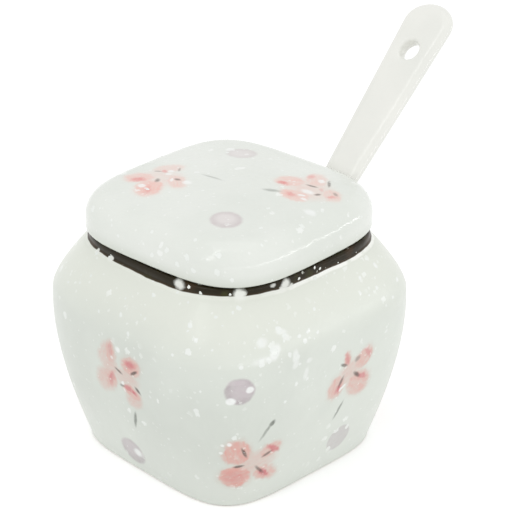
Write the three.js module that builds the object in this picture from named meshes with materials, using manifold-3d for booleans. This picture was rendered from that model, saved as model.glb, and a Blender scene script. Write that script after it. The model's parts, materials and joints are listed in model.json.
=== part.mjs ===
// A rounded-square glazed jar for condiments, with a lid notched at its edge for a leaning spoon.
// Millimetres, +Z up. The base lies on z = 0, centred on the axis, and the spoon leans out over +Y.
import * as THREE from 'three';
import { mergeVertices } from 'three/addons/utils/BufferGeometryUtils.js';
import Module from 'manifold-3d';

const DEGREE = Math.PI / 180;

// Jar: widths are across the flats, corners are plan radii
const FOOT_WIDTH = 68;
const FOOT_CORNER = 16.6;
const FOOT_EDGE = 1.2;
const FLARE_HEIGHT = 29.8; // the lower wall's end tangents meet here
const BELLY_WIDTH = 86;
const BELLY_CORNER = 24.2;
const BELLY_HEIGHT = 48.2;
const SHOULDER_TURN = 4.7; // from the belly up to where the shoulder's end tangents meet
const SHOULDER_HEIGHT = 65.1;
const NECK_WIDTH = 68.8;
const NECK_CORNER = 21.5;
const RIM_HEIGHT = 67.3;
const RIM_ROUND = 0.8;
const WALL = 4;
const FLOOR = 5;
const FLOOR_FILLET = 5;

// Lid
const LID_WIDTH = 69.4;
const LID_CORNER = 20.7;
const LID_HEIGHT = 13.6; // from its seat on the rim to the middle of its top
const LID_ROUND = 7.8;
const LID_DOME = 1.7;
const LID_FOOT_EDGE = 0.8;
const LID_HOLLOW = 7; // height of the hollow above the seat
const LID_TURN = 3.5 * DEGREE; // the loose lid sits slightly turned
const FLANGE_DEPTH = 5;
const FLANGE_WALL = 3.2;
const FLANGE_EDGE = 0.8;

// Spoon: its handle tapers from the bowl out to a rounded end
const SPOON_LENGTH = 153.4;
const SPOON_LEAN = 43.8 * DEGREE; // from upright
const SPOON_OFFSET = 10.1; // from the middle of the +Y side
const SPOON_EDGE = 1.6;
const BOWL_LENGTH = 40;
const BOWL_WIDEST = 17; // from the tip
const BOWL_WIDTH = 25;
const BOWL_DEPTH = 7;
const BOWL_WALL = 2.8;
const HANDLE_ROOT_WIDTH = 7.2;
const HANDLE_END_WIDTH = 17.1;
const HANDLE_END_ROUND = 7;
const HANDLE_THICKNESS = 4.3;
const HANG_HOLE = 5.6;
const HANG_HOLE_INSET = 16.2; // from the end of the handle
const HANG_HOLE_SOFT = 0.6;

// Clearances
const SEAT_GAP = 0.3; // lid over rim, spoon on rim and spoon on floor
const FLANGE_CLEARANCE = 1.4;
const NOTCH_CLEARANCE = 1.2;
const NOTCH_ROUND = 2.7;
const SEAT_TOLERANCE = 0.003;

// Mesh steps
const ROUND_STEPS = 64;
const WALL_STEPS = 9;
const CURVE_STEPS = 6;
const SPOON_STEPS = 24;
const HOLE_STEPS = 24;

const wasm = await Module();
wasm.setup();

const footHalf = FOOT_WIDTH / 2;
const bellyHalf = BELLY_WIDTH / 2;
const neckHalf = NECK_WIDTH / 2;
const mouthHalf = neckHalf - WALL;
const mouthCorner = NECK_CORNER - WALL;
const lidHalf = LID_WIDTH / 2;
const lidTopHalf = lidHalf - LID_ROUND;
const lidSeatHeight = RIM_HEIGHT + SEAT_GAP;
const handleStart = BOWL_LENGTH;
const handleEnd = SPOON_LENGTH - HANDLE_END_ROUND;

// A point list read as a graph: the x of the line at height y, for points that rise
function readAt(points, y) {
  const next = points.findIndex((point) => point.y >= y);
  if (next < 0) return points[points.length - 1].x;
  if (next === 0) return points[0].x;
  const low = points[next - 1];
  const high = points[next];
  return THREE.MathUtils.mapLinear(y, low.y, high.y, low.x, high.x);
}

// A small rounded edge in a profile, as two straight steps round the corner
function softEdge(path, cornerX, cornerY, endX, endY) {
  const start = path.currentPoint.clone();
  path.lineTo((start.x + 2 * cornerX + endX) / 4, (start.y + 2 * cornerY + endY) / 4);
  path.lineTo(endX, endY);
}

// Distance from the axis to a rounded square, along an angle
function squareReach(half, corner, angle) {
  const c = Math.abs(Math.cos(angle));
  const s = Math.abs(Math.sin(angle));
  const flatReach = half / Math.max(c, s);
  const centre = half - corner;
  if (flatReach * Math.min(c, s) <= centre) return flatReach;
  return centre * (c + s) + Math.sqrt(corner ** 2 - (centre * (c - s)) ** 2);
}

// How far a point lies inside a rounded square
function depthInSquare(x, y, half, corner) {
  const dx = Math.abs(x) - half + corner;
  const dy = Math.abs(y) - half + corner;
  return corner - Math.hypot(Math.max(dx, 0), Math.max(dy, 0)) - Math.min(Math.max(dx, dy), 0);
}

// A lathe whose rings are reshaped: place(point, angle) gives each profile point's place
function shapedLathe(profile, steps, place) {
  const geometry = new THREE.LatheGeometry(profile, steps);
  const position = geometry.attributes.position;
  for (let i = 0; i < position.count; i += 1) {
    const turn = Math.floor(i / profile.length) % steps;
    const spot = place(profile[i % profile.length], (2 * Math.PI * turn) / steps);
    position.setXYZ(i, spot.x, spot.y, spot.z);
  }
  return geometry;
}

// Rings are rounded squares with radii from cornerOf(half, height)
function squaredLathe(profile, cornerOf) {
  return shapedLathe(profile, ROUND_STEPS, (point, angle) => {
    const reach = point.x === 0 ? 0 : squareReach(point.x, cornerOf(point.x, point.y), angle);
    return new THREE.Vector3(reach * Math.cos(angle), reach * Math.sin(angle), point.y);
  });
}

// A closed geometry as a solid, with its shared vertices merged and its flat triangles left out
function toSolid(geometry) {
  const bare = geometry.clone();
  bare.deleteAttribute('normal');
  bare.deleteAttribute('uv');
  const merged = mergeVertices(bare);
  const triangles = [];
  for (let i = 0; i < merged.index.count; i += 3) {
    const [a, b, c] = merged.index.array.slice(i, i + 3);
    if (a !== b && b !== c && c !== a) triangles.push(a, b, c);
  }
  const mesh = new wasm.Mesh({
    numProp: 3,
    vertProperties: new Float32Array(merged.attributes.position.array),
    triVerts: new Uint32Array(triangles),
  });
  return new wasm.Manifold(mesh);
}

function toMesh(name, solid, color, roughness) {
  const { vertProperties, triVerts } = solid.getMesh();
  const geometry = new THREE.BufferGeometry();
  geometry.setAttribute('position', new THREE.BufferAttribute(vertProperties, 3));
  geometry.setIndex(new THREE.BufferAttribute(triVerts, 1));
  geometry.computeVertexNormals();
  const material = new THREE.MeshStandardMaterial({ color, roughness, metalness: 0 });
  const mesh = new THREE.Mesh(geometry, material);
  mesh.name = name;
  return mesh;
}

// Outside of the jar's wall, from the foot to the neck
const wallPath = new THREE.Path();
wallPath.moveTo(footHalf, FOOT_EDGE);
wallPath.quadraticCurveTo(bellyHalf, FLARE_HEIGHT, bellyHalf, BELLY_HEIGHT);
wallPath.quadraticCurveTo(bellyHalf, BELLY_HEIGHT + SHOULDER_TURN, neckHalf, SHOULDER_HEIGHT);
const wallPoints = wallPath.getPoints(WALL_STEPS);

// Inside of the jar, from the middle of the floor to the mouth
const filletTop = FLOOR + FLOOR_FILLET;
const innerFoot = readAt(wallPoints, filletTop) - WALL;
const innerPath = new THREE.Path();
innerPath.moveTo(0, FLOOR);
innerPath.lineTo(innerFoot - FLOOR_FILLET, FLOOR);
innerPath.quadraticCurveTo(innerFoot, FLOOR, innerFoot, filletTop);
wallPoints.filter((point) => point.y > filletTop).forEach((point) => innerPath.lineTo(point.x - WALL, point.y));
innerPath.lineTo(mouthHalf, RIM_HEIGHT - RIM_ROUND);
const innerPoints = innerPath.getPoints(CURVE_STEPS);

// Plan radius of the jar at a profile point: the outside's radius less the inset from it
function jarCorner(half, height) {
  const radius = height < BELLY_HEIGHT
    ? THREE.MathUtils.mapLinear(height, 0, BELLY_HEIGHT, FOOT_CORNER, BELLY_CORNER)
    : THREE.MathUtils.mapLinear(height, BELLY_HEIGHT, SHOULDER_HEIGHT, BELLY_CORNER, NECK_CORNER);
  const outside = height < SHOULDER_HEIGHT ? radius : NECK_CORNER;
  return outside - (readAt(wallPoints, height) - half);
}

function makeJar() {
  const path = new THREE.Path();
  path.moveTo(0, 0);
  path.lineTo(footHalf - FOOT_EDGE, 0);
  softEdge(path, footHalf, 0, footHalf, FOOT_EDGE);
  wallPoints.slice(1).forEach((point) => path.lineTo(point.x, point.y));
  path.lineTo(neckHalf, RIM_HEIGHT - RIM_ROUND);
  softEdge(path, neckHalf, RIM_HEIGHT, neckHalf - RIM_ROUND, RIM_HEIGHT);
  path.lineTo(mouthHalf + RIM_ROUND, RIM_HEIGHT);
  softEdge(path, mouthHalf, RIM_HEIGHT, mouthHalf, RIM_HEIGHT - RIM_ROUND);
  innerPoints.slice(0, -1).reverse().forEach((point) => path.lineTo(point.x, point.y));
  return toSolid(squaredLathe(path.getPoints(CURVE_STEPS), jarCorner));
}

// Half the width of the spoon's outline, from the tip at y = 0 to the end of the handle
const outlinePath = new THREE.Path();
outlinePath.absellipse(0, BOWL_WIDEST, BOWL_WIDTH / 2, BOWL_WIDEST, -Math.PI / 2, 0);
const bowlTurn = (BOWL_WIDEST + BOWL_LENGTH) / 2;
outlinePath.bezierCurveTo(
  BOWL_WIDTH / 2, bowlTurn, HANDLE_ROOT_WIDTH / 2, bowlTurn, HANDLE_ROOT_WIDTH / 2, handleStart,
);
outlinePath.lineTo(HANDLE_END_WIDTH / 2, handleEnd);
outlinePath.absellipse(0, handleEnd, HANDLE_END_WIDTH / 2, HANDLE_END_ROUND, 0, Math.PI / 2);
const outlinePoints = outlinePath.getPoints(CURVE_STEPS).map((point) => point.setX(Math.abs(point.x)));
outlinePoints[0].x = 0;
outlinePoints[outlinePoints.length - 1].x = 0;

function handleWidth(along) {
  return THREE.MathUtils.mapLinear(along, handleStart, handleEnd, HANDLE_ROOT_WIDTH, HANDLE_END_WIDTH);
}

function distanceToOutline(x, y) {
  const spot = new THREE.Vector3(x, y, 0);
  const nearest = new THREE.Vector3();
  const line = new THREE.Line3();
  let least = Infinity;
  for (let i = 1; i < outlinePoints.length; i += 1) {
    line.start.set(outlinePoints[i - 1].x, outlinePoints[i - 1].y, 0);
    line.end.set(outlinePoints[i].x, outlinePoints[i].y, 0);
    line.closestPointToPoint(spot, true, nearest);
    least = Math.min(least, nearest.distanceTo(spot));
  }
  return least;
}

// A plate with a rounded edge, thinner at the bowl and dished there. Its length lies along y.
function spoonPoint(point, angle) {
  const across = point.x * Math.sin(angle);
  const bowlPart = THREE.MathUtils.clamp((handleStart - point.y) / (handleStart - BOWL_WIDEST), 0, 1);
  const thickness = THREE.MathUtils.lerp(HANDLE_THICKNESS, BOWL_WALL, bowlPart);
  const edge = Math.min(SPOON_EDGE, thickness / 2);
  const inset = Math.min(distanceToOutline(Math.abs(across), point.y) / edge, 1);
  const crown = (thickness / 2) * Math.sqrt(1 - (1 - inset) ** 2);
  const rootHalf = HANDLE_ROOT_WIDTH / 2;
  const spread = point.y < handleStart ? (point.x - rootHalf) / (BOWL_WIDTH / 2 - rootHalf) : 0;
  const dish = BOWL_DEPTH * Math.max(spread, 0) * Math.cos(angle) ** 2;
  return new THREE.Vector3(across, point.y, Math.sign(Math.cos(angle)) * crown - dish);
}

function makeSpoon() {
  const plate = shapedLathe(outlinePoints, SPOON_STEPS, spoonPoint);
  const soft = HANG_HOLE_SOFT;
  const radius = HANG_HOLE / 2;
  const top = HANDLE_THICKNESS / 2;
  const half = [[radius, 0], [radius, top - soft], [radius + soft, top], [radius + 2 * soft, top + soft]];
  const below = half.slice(1).reverse().map(([x, y]) => new THREE.Vector2(x, -y));
  const above = half.map(([x, y]) => new THREE.Vector2(x, y));
  const first = new THREE.Vector2(0, -top - soft);
  const last = new THREE.Vector2(0, top + soft);
  const cutter = new THREE.LatheGeometry([first, ...below, ...above, last], HOLE_STEPS);
  cutter.rotateX(Math.PI / 2);
  cutter.translate(0, SPOON_LENGTH - HANG_HOLE_INSET, 0);
  return toSolid(plate).subtract(toSolid(cutter));
}

// Gap from a point inside the jar to its floor and walls
function gapInside(point) {
  const half = readAt(innerPoints, point.z);
  const depth = depthInSquare(point.x, point.y, half, jarCorner(half, point.z));
  return Math.min(point.z - FLOOR, depth);
}

// Where the handle's middle line crosses the rim: its underside rests on the mouth's rounded edge
const deepestTip = RIM_HEIGHT / Math.cos(SPOON_LEAN);
const mouthSpan = SPOON_OFFSET + handleWidth(deepestTip) / 2;
const mouthBend = Math.max(mouthSpan - (mouthHalf - mouthCorner), 0);
const mouthSide = mouthHalf - mouthCorner + Math.sqrt(mouthCorner ** 2 - mouthBend ** 2);
const restHeight = HANDLE_THICKNESS / 2 + SEAT_GAP + RIM_ROUND * (1 - Math.sin(SPOON_LEAN));
const crossing = new THREE.Vector3(
  SPOON_OFFSET,
  mouthSide + RIM_ROUND - restHeight / Math.cos(SPOON_LEAN),
  RIM_HEIGHT,
);
const alongSpoon = new THREE.Vector3(0, Math.sin(SPOON_LEAN), Math.cos(SPOON_LEAN));

function leanSpoon(object, depth) {
  object.rotation.x = Math.PI / 2 - SPOON_LEAN;
  object.position.copy(crossing).addScaledVector(alongSpoon, -depth);
  object.updateMatrix();
}

// Depth of the tip below the rim, along the handle, that leaves the bowl a seat gap inside the jar
function seatDepth(spoon) {
  const position = spoon.geometry.attributes.position;
  const point = new THREE.Vector3();
  let clear = BOWL_LENGTH;
  let blocked = deepestTip;
  while (blocked - clear > SEAT_TOLERANCE) {
    const depth = (clear + blocked) / 2;
    leanSpoon(spoon, depth);
    let least = Infinity;
    for (let i = 0; i < position.count; i += 1) {
      point.fromBufferAttribute(position, i);
      if (point.y < BOWL_LENGTH) least = Math.min(least, gapInside(point.applyMatrix4(spoon.matrix)));
    }
    if (least > SEAT_GAP) clear = depth;
    else blocked = depth;
  }
  return clear;
}

// A slanted slot that follows the handle: a rounded roof over it, open below
function makeNotch(depth) {
  const lidSpan = LID_HEIGHT / Math.cos(SPOON_LEAN);
  const half = handleWidth(depth + lidSpan) / 2 + NOTCH_CLEARANCE;
  const roof = HANDLE_THICKNESS / 2 + NOTCH_CLEARANCE;
  const shape = new THREE.Shape();
  shape.moveTo(-half, -LID_WIDTH);
  shape.lineTo(half, -LID_WIDTH);
  shape.lineTo(half, roof - NOTCH_ROUND);
  shape.quadraticCurveTo(half, roof, half - NOTCH_ROUND, roof);
  shape.lineTo(-half + NOTCH_ROUND, roof);
  shape.quadraticCurveTo(-half, roof, -half, roof - NOTCH_ROUND);
  const slot = new THREE.ExtrudeGeometry(shape, {
    depth: 2 * LID_WIDTH,
    bevelEnabled: false,
    curveSegments: CURVE_STEPS,
  });
  slot.translate(0, 0, -LID_WIDTH);
  slot.rotateX(Math.PI - SPOON_LEAN);
  slot.translate(crossing.x, crossing.y, crossing.z - lidSeatHeight);
  return toSolid(slot);
}

// Plan radius of the lid: its outside and its top keep to the lid's corner, its flange to the mouth's
function lidCorner(half, height) {
  const onTop = height > LID_HOLLOW;
  if (!onTop && half <= mouthHalf) return mouthCorner - (mouthHalf - half);
  if (half > lidTopHalf) return LID_CORNER - (lidHalf - half);
  return ((LID_CORNER - LID_ROUND) * half) / lidTopHalf;
}

function makeLid(depth) {
  const flange = mouthHalf - FLANGE_CLEARANCE;
  const hollow = flange - FLANGE_WALL;
  const roundTop = LID_HEIGHT - LID_DOME;
  const path = new THREE.Path();
  path.moveTo(0, LID_HOLLOW);
  path.lineTo(hollow - LID_HOLLOW, LID_HOLLOW);
  path.quadraticCurveTo(hollow, LID_HOLLOW, hollow, 0);
  path.lineTo(hollow, FLANGE_EDGE - FLANGE_DEPTH);
  softEdge(path, hollow, -FLANGE_DEPTH, hollow + FLANGE_EDGE, -FLANGE_DEPTH);
  path.lineTo(flange - FLANGE_EDGE, -FLANGE_DEPTH);
  softEdge(path, flange, -FLANGE_DEPTH, flange, FLANGE_EDGE - FLANGE_DEPTH);
  path.lineTo(flange, 0);
  path.lineTo(lidHalf - LID_FOOT_EDGE, 0);
  softEdge(path, lidHalf, 0, lidHalf, LID_FOOT_EDGE);
  path.lineTo(lidHalf, roundTop - LID_ROUND);
  path.absarc(lidTopHalf, roundTop - LID_ROUND, LID_ROUND, 0, Math.PI / 2);
  path.quadraticCurveTo(lidTopHalf / 2, LID_HEIGHT, 0, LID_HEIGHT);
  const slab = squaredLathe(path.getPoints(CURVE_STEPS), lidCorner);
  slab.rotateZ(LID_TURN);
  return toSolid(slab).subtract(makeNotch(depth));
}

const jar = toMesh('jar', makeJar(), 0xdde1d9, 0.2);
const spoon = toMesh('spoon', makeSpoon(), 0xebece7, 0.2);
const spoonDepth = seatDepth(spoon);
leanSpoon(spoon, spoonDepth);
const lid = toMesh('lid', makeLid(spoonDepth), 0xe4e9e4, 0.18);
lid.position.z = lidSeatHeight;

const condimentJar = new THREE.Group();
condimentJar.add(jar, lid, spoon);

export default condimentJar;
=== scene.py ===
# %% [markdown]
# # A glazed condiment jar with a lid and a spoon
# The object is a small stoneware jar for salt, sugar or chilli, about as wide as a fist. Its plan is a
# square with generous corners, its lid lifts off, and a spoon leans in it with its handle through a notch
# in the lid. The clay is covered with a pale glaze, painted with loose pink flowers and lilac dots, and
# spattered with a thick white glaze that stays up as flecks. A dark iron glaze circles the neck.
#
# The measured model gives the sizes and the places. This notebook makes the finer surfaces that stand for
# it.

# %% Load the measured model
import json
import math

import bmesh
import bpy
import numpy as np
from mathutils import Matrix, Vector

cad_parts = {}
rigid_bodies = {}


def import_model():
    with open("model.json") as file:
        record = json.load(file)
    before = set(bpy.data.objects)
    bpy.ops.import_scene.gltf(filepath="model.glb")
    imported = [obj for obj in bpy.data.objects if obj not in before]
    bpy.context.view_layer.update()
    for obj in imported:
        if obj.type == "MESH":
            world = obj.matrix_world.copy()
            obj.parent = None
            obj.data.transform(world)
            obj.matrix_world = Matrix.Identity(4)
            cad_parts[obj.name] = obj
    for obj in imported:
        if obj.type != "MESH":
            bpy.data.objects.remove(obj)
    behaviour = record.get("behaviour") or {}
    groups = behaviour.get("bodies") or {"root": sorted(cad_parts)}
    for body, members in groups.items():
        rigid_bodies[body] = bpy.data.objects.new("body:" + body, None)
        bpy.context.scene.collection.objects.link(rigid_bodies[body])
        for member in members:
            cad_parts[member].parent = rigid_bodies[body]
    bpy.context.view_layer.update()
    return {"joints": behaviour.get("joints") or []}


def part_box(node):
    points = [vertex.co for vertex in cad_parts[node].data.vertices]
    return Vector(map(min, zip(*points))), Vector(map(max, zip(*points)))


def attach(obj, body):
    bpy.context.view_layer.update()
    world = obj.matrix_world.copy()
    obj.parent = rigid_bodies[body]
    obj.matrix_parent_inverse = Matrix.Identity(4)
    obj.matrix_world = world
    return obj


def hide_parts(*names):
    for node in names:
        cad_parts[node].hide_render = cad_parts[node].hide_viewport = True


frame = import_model()
MM = 0.001

# %% [markdown]
# ## The camera
# The jar is seen corner on, from about 26 degrees above, with a long lens, as product pictures often are.
# A camera that was held by hand is rarely level, so there is a small roll. The camera aims beside the
# jar, since the spoon makes the whole object lopsided.

# %% Camera
AZIMUTH = math.radians(45.43)
ELEVATION = math.radians(26.01)
ROLL = math.radians(0.37)
DISTANCE = 558.8 * MM
AIM_ACROSS = 7.53 * MM
AIM_UP = 51.91 * MM
LENS, SENSOR = 131.9, 36  # focal length and sensor width in mm
CLIP_RANGE = 0.01, 20  # metres

level = math.cos(ELEVATION)
back = Vector((math.sin(AZIMUTH) * level, -math.cos(AZIMUTH) * level, math.sin(ELEVATION)))
right = Vector((math.cos(AZIMUTH), math.sin(AZIMUTH), 0))
up = back.cross(right)
turned = Matrix((right, up, back)).transposed().to_4x4() @ Matrix.Rotation(ROLL, 4, "Z")


def add(name, data):
    """A new object in the scene."""
    thing = bpy.data.objects.new(name, data)
    bpy.context.scene.collection.objects.link(thing)
    return thing


camera = add("camera", bpy.data.cameras.new("camera"))
camera.data.lens = LENS
camera.data.sensor_width = SENSOR
camera.data.clip_start, camera.data.clip_end = CLIP_RANGE
spot = right * AIM_ACROSS + up * AIM_UP + back * DISTANCE
camera.matrix_world = Matrix.Translation(spot) @ turned
bpy.context.scene.camera = camera
bpy.context.scene.view_settings.view_transform = "Standard"
print("Camera at", [round(value, 3) for value in spot])

# %% [markdown]
# ## Small helpers for node trees
# Every material and every Geometry Nodes tree below is put together node by node. That could be done by
# hand in the node editor, but a script can be read, repeated and changed. One helper adds a node, sets
# its options and feeds its inputs. Others add the math nodes for numbers and for vectors, and the node
# that maps one range onto another. A colour is written as it looks on a screen, 0 to 255, and turned into
# the linear values that light is computed with.

# %% Node helpers
def put(tree, kind, inputs=None, **options):
    """Adds a node. An input takes a number, a colour or another node's output."""
    node = tree.nodes.new(kind)
    for name, value in options.items():
        setattr(node, name, value)
    for key, value in (inputs or {}).items():
        if isinstance(key, int):
            socket = node.inputs[key]
        else:
            socket = next(s for s in node.inputs if s.name == key and s.enabled)
        if isinstance(value, bpy.types.NodeSocket):
            tree.links.new(value, socket)
        else:
            socket.default_value = value
    return node


def calc(tree, operation, *values):
    """A math node's output."""
    return put(tree, "ShaderNodeMath", dict(enumerate(values)), operation=operation).outputs[0]


def vector(tree, operation, *values):
    """A vector math node's output."""
    return put(tree, "ShaderNodeVectorMath", dict(enumerate(values)), operation=operation).outputs[0]


def span(tree, value, low, high, to=(0.0, 1.0), kind="LINEAR"):
    """A value's range from low to high, mapped onto another range."""
    ends = {"Value": value, "From Min": low, "From Max": high, "To Min": to[0], "To Max": to[1]}
    return put(tree, "ShaderNodeMapRange", ends, interpolation_type=kind).outputs[0]


def screen(red, green, blue):
    """A screen colour as linear red, green, blue and alpha."""
    values = np.array((red, green, blue)) / 255
    linear = np.where(values <= 0.04045, values / 12.92, ((values + 0.055) / 1.055) ** 2.4)
    return (*linear.tolist(), 1.0)


print("Mid grey in linear values:", [round(value, 3) for value in screen(128, 128, 128)])

# %% [markdown]
# ## Floor, surroundings and light
# The jar stands on a plain pale table in a bright, even room. The room is white to the eye and in
# reflections, and somewhat dimmer as a light, so that the shaded sides stay readable. A long low strip at
# the right draws the thin highlight on the lid's edge, and a tall box at the left the ones on the
# shoulder and along the handle. Two wide, weak boxes fill in from the front and from above.

# %% Room
ROOM_LIGHT = 0.84
WHITE = (1, 1, 1, 1)


def seen_directly(tree):
    """1 for what the camera, a reflection or a clear surface sees, 0 for light that falls on things."""
    path = put(tree, "ShaderNodeLightPath")
    seen = calc(tree, "MAXIMUM", path.outputs["Is Camera Ray"], path.outputs["Is Glossy Ray"])
    return calc(tree, "MAXIMUM", seen, path.outputs["Is Transmission Ray"])


world = bpy.data.worlds.new("room")
bpy.context.scene.world = world
world.use_nodes = True
room = world.node_tree
room.nodes.clear()
brightness = span(room, seen_directly(room), 0.0, 1.0, (ROOM_LIGHT, 1.0))
glow = put(room, "ShaderNodeBackground", {"Color": WHITE, "Strength": brightness})
put(room, "ShaderNodeOutputWorld", {"Surface": glow.outputs[0]})
print("Room light:", ROOM_LIGHT)

# %% Floor
FLOOR_SIZE = 6.0
FLOOR_LIFT = 0.30  # the table's own brightness, as the camera and reflections see it
TABLE_TONES = 0.88, 0.92
TABLE_GRAIN = 400.0  # grains across the table
table_paint = bpy.data.materials.new("table_paint")
table_paint.use_nodes = True
paint = table_paint.node_tree
paint.nodes.clear()
table_grain = put(paint, "ShaderNodeTexNoise", {"Scale": TABLE_GRAIN, "Detail": 2.0}).outputs[0]
table_tone = span(paint, table_grain, 0.0, 1.0, TABLE_TONES)
matt = put(paint, "ShaderNodeBsdfDiffuse", {"Color": table_tone})
lift_strength = calc(paint, "MULTIPLY", seen_directly(paint), FLOOR_LIFT)
lift = put(paint, "ShaderNodeEmission", {"Color": WHITE, "Strength": lift_strength})
both = put(paint, "ShaderNodeAddShader", {0: matt.outputs[0], 1: lift.outputs[0]})
put(paint, "ShaderNodeOutputMaterial", {"Surface": both.outputs[0]})


def plain_mesh(name, points, edges=(), faces=()):
    """A mesh from points, and edges or faces."""
    mesh = bpy.data.meshes.new(name)
    mesh.from_pydata(points, edges, faces)
    return mesh


side = FLOOR_SIZE / 2
floor_corners = [(-side, -side, 0), (side, -side, 0), (side, side, 0), (-side, side, 0)]
floor = add("floor", plain_mesh("floor", floor_corners, faces=[(0, 1, 2, 3)]))
floor.data.materials.append(table_paint)
print("Floor", FLOOR_SIZE, "m wide")

# %% Soft boxes
SOFT_BOXES = [  # name, place and size in metres, power in watts
    ("strip_right", (0.93, 0.38, 0.15), (1.7, 0.045), 1.5),
    ("soft_box_left", (0.0, -0.62, 0.72), (0.12, 0.8), 0.85),
    ("soft_box_front", (1.1, -0.65, 0.13), (1.2, 0.24), 0.45),
    ("soft_box_above", (0.0, 0.0, 1.2), (0.9, 0.9), 0.9),
]
LIT_POINT = Vector((0, 0, 0.05))  # the boxes face a point inside the jar
for name, place, size, power in SOFT_BOXES:
    lamp = bpy.data.lights.new(name, "AREA")
    lamp.shape = "RECTANGLE"
    lamp.size, lamp.size_y = size
    lamp.energy = power
    aim = (LIT_POINT - Vector(place)).to_track_quat("-Z", "Y")
    add(name, lamp).matrix_world = Matrix.Translation(place) @ aim.to_matrix().to_4x4()
print("Lights:", len(SOFT_BOXES))

# %% [markdown]
# ## A lathe that turns squares
# A potter throws a round jar and beats it square, or presses clay into a mould. Either way each level is
# a soft square whose sides bow slightly outward. A superellipse draws that outline: one exponent sets how
# square it is, and it has no place where a flat side suddenly meets an arc, so reflections run on
# smoothly.
#
# The tree below reads a profile, one point per level: x is half the width across the sides, y the reach
# to a corner and z the height. It lays a grid out and wraps it round, level by level.

# %% Helpers for Geometry Nodes
def new_tree(name, inputs, output):
    """An empty Geometry Nodes tree with named inputs and one geometry output."""
    tree = bpy.data.node_groups.new(name, "GeometryNodeTree")
    for label, kind in inputs.items():
        tree.interface.new_socket(label, in_out="INPUT", socket_type="NodeSocket" + kind)
    tree.interface.new_socket(output, in_out="OUTPUT", socket_type="NodeSocketGeometry")
    return tree


def settle(piece):
    """Turns what a piece's modifiers give into its plain mesh."""
    evaluated = piece.evaluated_get(bpy.context.evaluated_depsgraph_get())
    mesh = bpy.data.meshes.new_from_object(evaluated)
    piece.modifiers.clear()
    piece.data = mesh
    return piece


def run_tree(piece, tree, **values):
    """Runs a node tree on a piece, with its named inputs, and keeps the plain mesh."""
    modifier = piece.modifiers.new(tree.name, "NODES")
    modifier.node_group = tree
    for item in tree.interface.items_tree:
        key = item.name.replace(" ", "_").lower()
        if item.in_out == "INPUT" and key in values:
            modifier[item.identifier] = values[key]
    settle(piece)
    piece.data.materials.clear()  # the tree's meshes start with an empty slot
    piece.data.materials.append(values["glaze"])
    return piece


print("Nodes as in Blender", bpy.app.version_string)

# %% Squared lathe tree
MERGED = 1e-6  # points this close become one
TINY = 1e-9  # keeps a division from failing where a level shrinks to a point


def squared_lathe_tree():
    """Wraps a grid round an axis, with one row of it for each level of the profile."""
    inputs = {"Profile": "Geometry", "Steps round": "Int", "Glaze": "Material"}
    tree = new_tree("squared_lathe", inputs, "Body")
    given = put(tree, "NodeGroupInput").outputs
    levels = put(tree, "GeometryNodeAttributeDomainSize", {0: given["Profile"]}).outputs["Point Count"]
    columns = calc(tree, "ADD", given["Steps round"], 1)
    grid = put(tree, "GeometryNodeMeshGrid", {
        "Size X": 1, "Size Y": 1, "Vertices X": columns, "Vertices Y": levels})
    place = put(tree, "GeometryNodeInputPosition").outputs[0]
    flat = put(tree, "ShaderNodeSeparateXYZ", {0: place}).outputs
    angle = calc(tree, "MULTIPLY", calc(tree, "ADD", flat["X"], 0.5), 2 * math.pi)
    last = calc(tree, "SUBTRACT", levels, 1)
    along = calc(tree, "MULTIPLY", calc(tree, "ADD", flat["Y"], 0.5), last)
    read = put(tree, "GeometryNodeSampleIndex", {
        "Geometry": given["Profile"], "Value": place, "Index": calc(tree, "ROUND", along)},
        data_type="FLOAT_VECTOR")
    level_point = put(tree, "ShaderNodeSeparateXYZ", {0: read.outputs[0]}).outputs
    half = calc(tree, "MAXIMUM", level_point["X"], TINY)
    ratio = calc(tree, "MAXIMUM", calc(tree, "DIVIDE", level_point["Y"], half), 1.0)
    power = calc(tree, "DIVIDE", 1, calc(tree, "SUBTRACT", 0.5, calc(tree, "LOGARITHM", ratio, 2)))
    cosine = calc(tree, "COSINE", angle)
    sine = calc(tree, "SINE", angle)
    cosine_part = calc(tree, "POWER", calc(tree, "ABSOLUTE", cosine), power)
    sine_part = calc(tree, "POWER", calc(tree, "ABSOLUTE", sine), power)
    parts_sum = calc(tree, "ADD", cosine_part, sine_part)
    squareness = calc(tree, "POWER", parts_sum, calc(tree, "DIVIDE", -1, power))
    out = calc(tree, "MULTIPLY", half, squareness)
    wrapped = put(tree, "ShaderNodeCombineXYZ", {
        "X": calc(tree, "MULTIPLY", out, cosine),
        "Y": calc(tree, "MULTIPLY", out, sine),
        "Z": level_point["Z"],
    })
    body = put(tree, "GeometryNodeSetPosition", {
        "Geometry": grid.outputs[0], "Position": wrapped.outputs[0]})
    joined = put(tree, "GeometryNodeMergeByDistance", {"Geometry": body.outputs[0], "Distance": MERGED})
    smooth = put(tree, "GeometryNodeSetShadeSmooth", {0: joined.outputs[0]})
    real = put(tree, "GeometryNodeRealizeInstances", {0: smooth.outputs[0]})
    glazed = put(tree, "GeometryNodeSetMaterial", {"Geometry": real.outputs[0], "Material": given["Glaze"]})
    put(tree, "NodeGroupOutput", {0: glazed.outputs[0]})
    return tree


lathe = squared_lathe_tree()
print("Lathe nodes:", len(lathe.nodes))

# %% [markdown]
# ## The jar's profile
# The wall leaves a narrow foot, flares to a belly two thirds of the way up, turns over a shoulder and
# rises as a short neck. Inside it follows at the wall's thickness down to a filleted floor. The foot is
# left a little hollow underneath, as a turned foot ring is, so that the jar doesn't rock. The profile
# could be drawn by eye as a curve. It is worked out from named sizes instead, so that the inside follows
# the outside when one of them changes.

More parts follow.
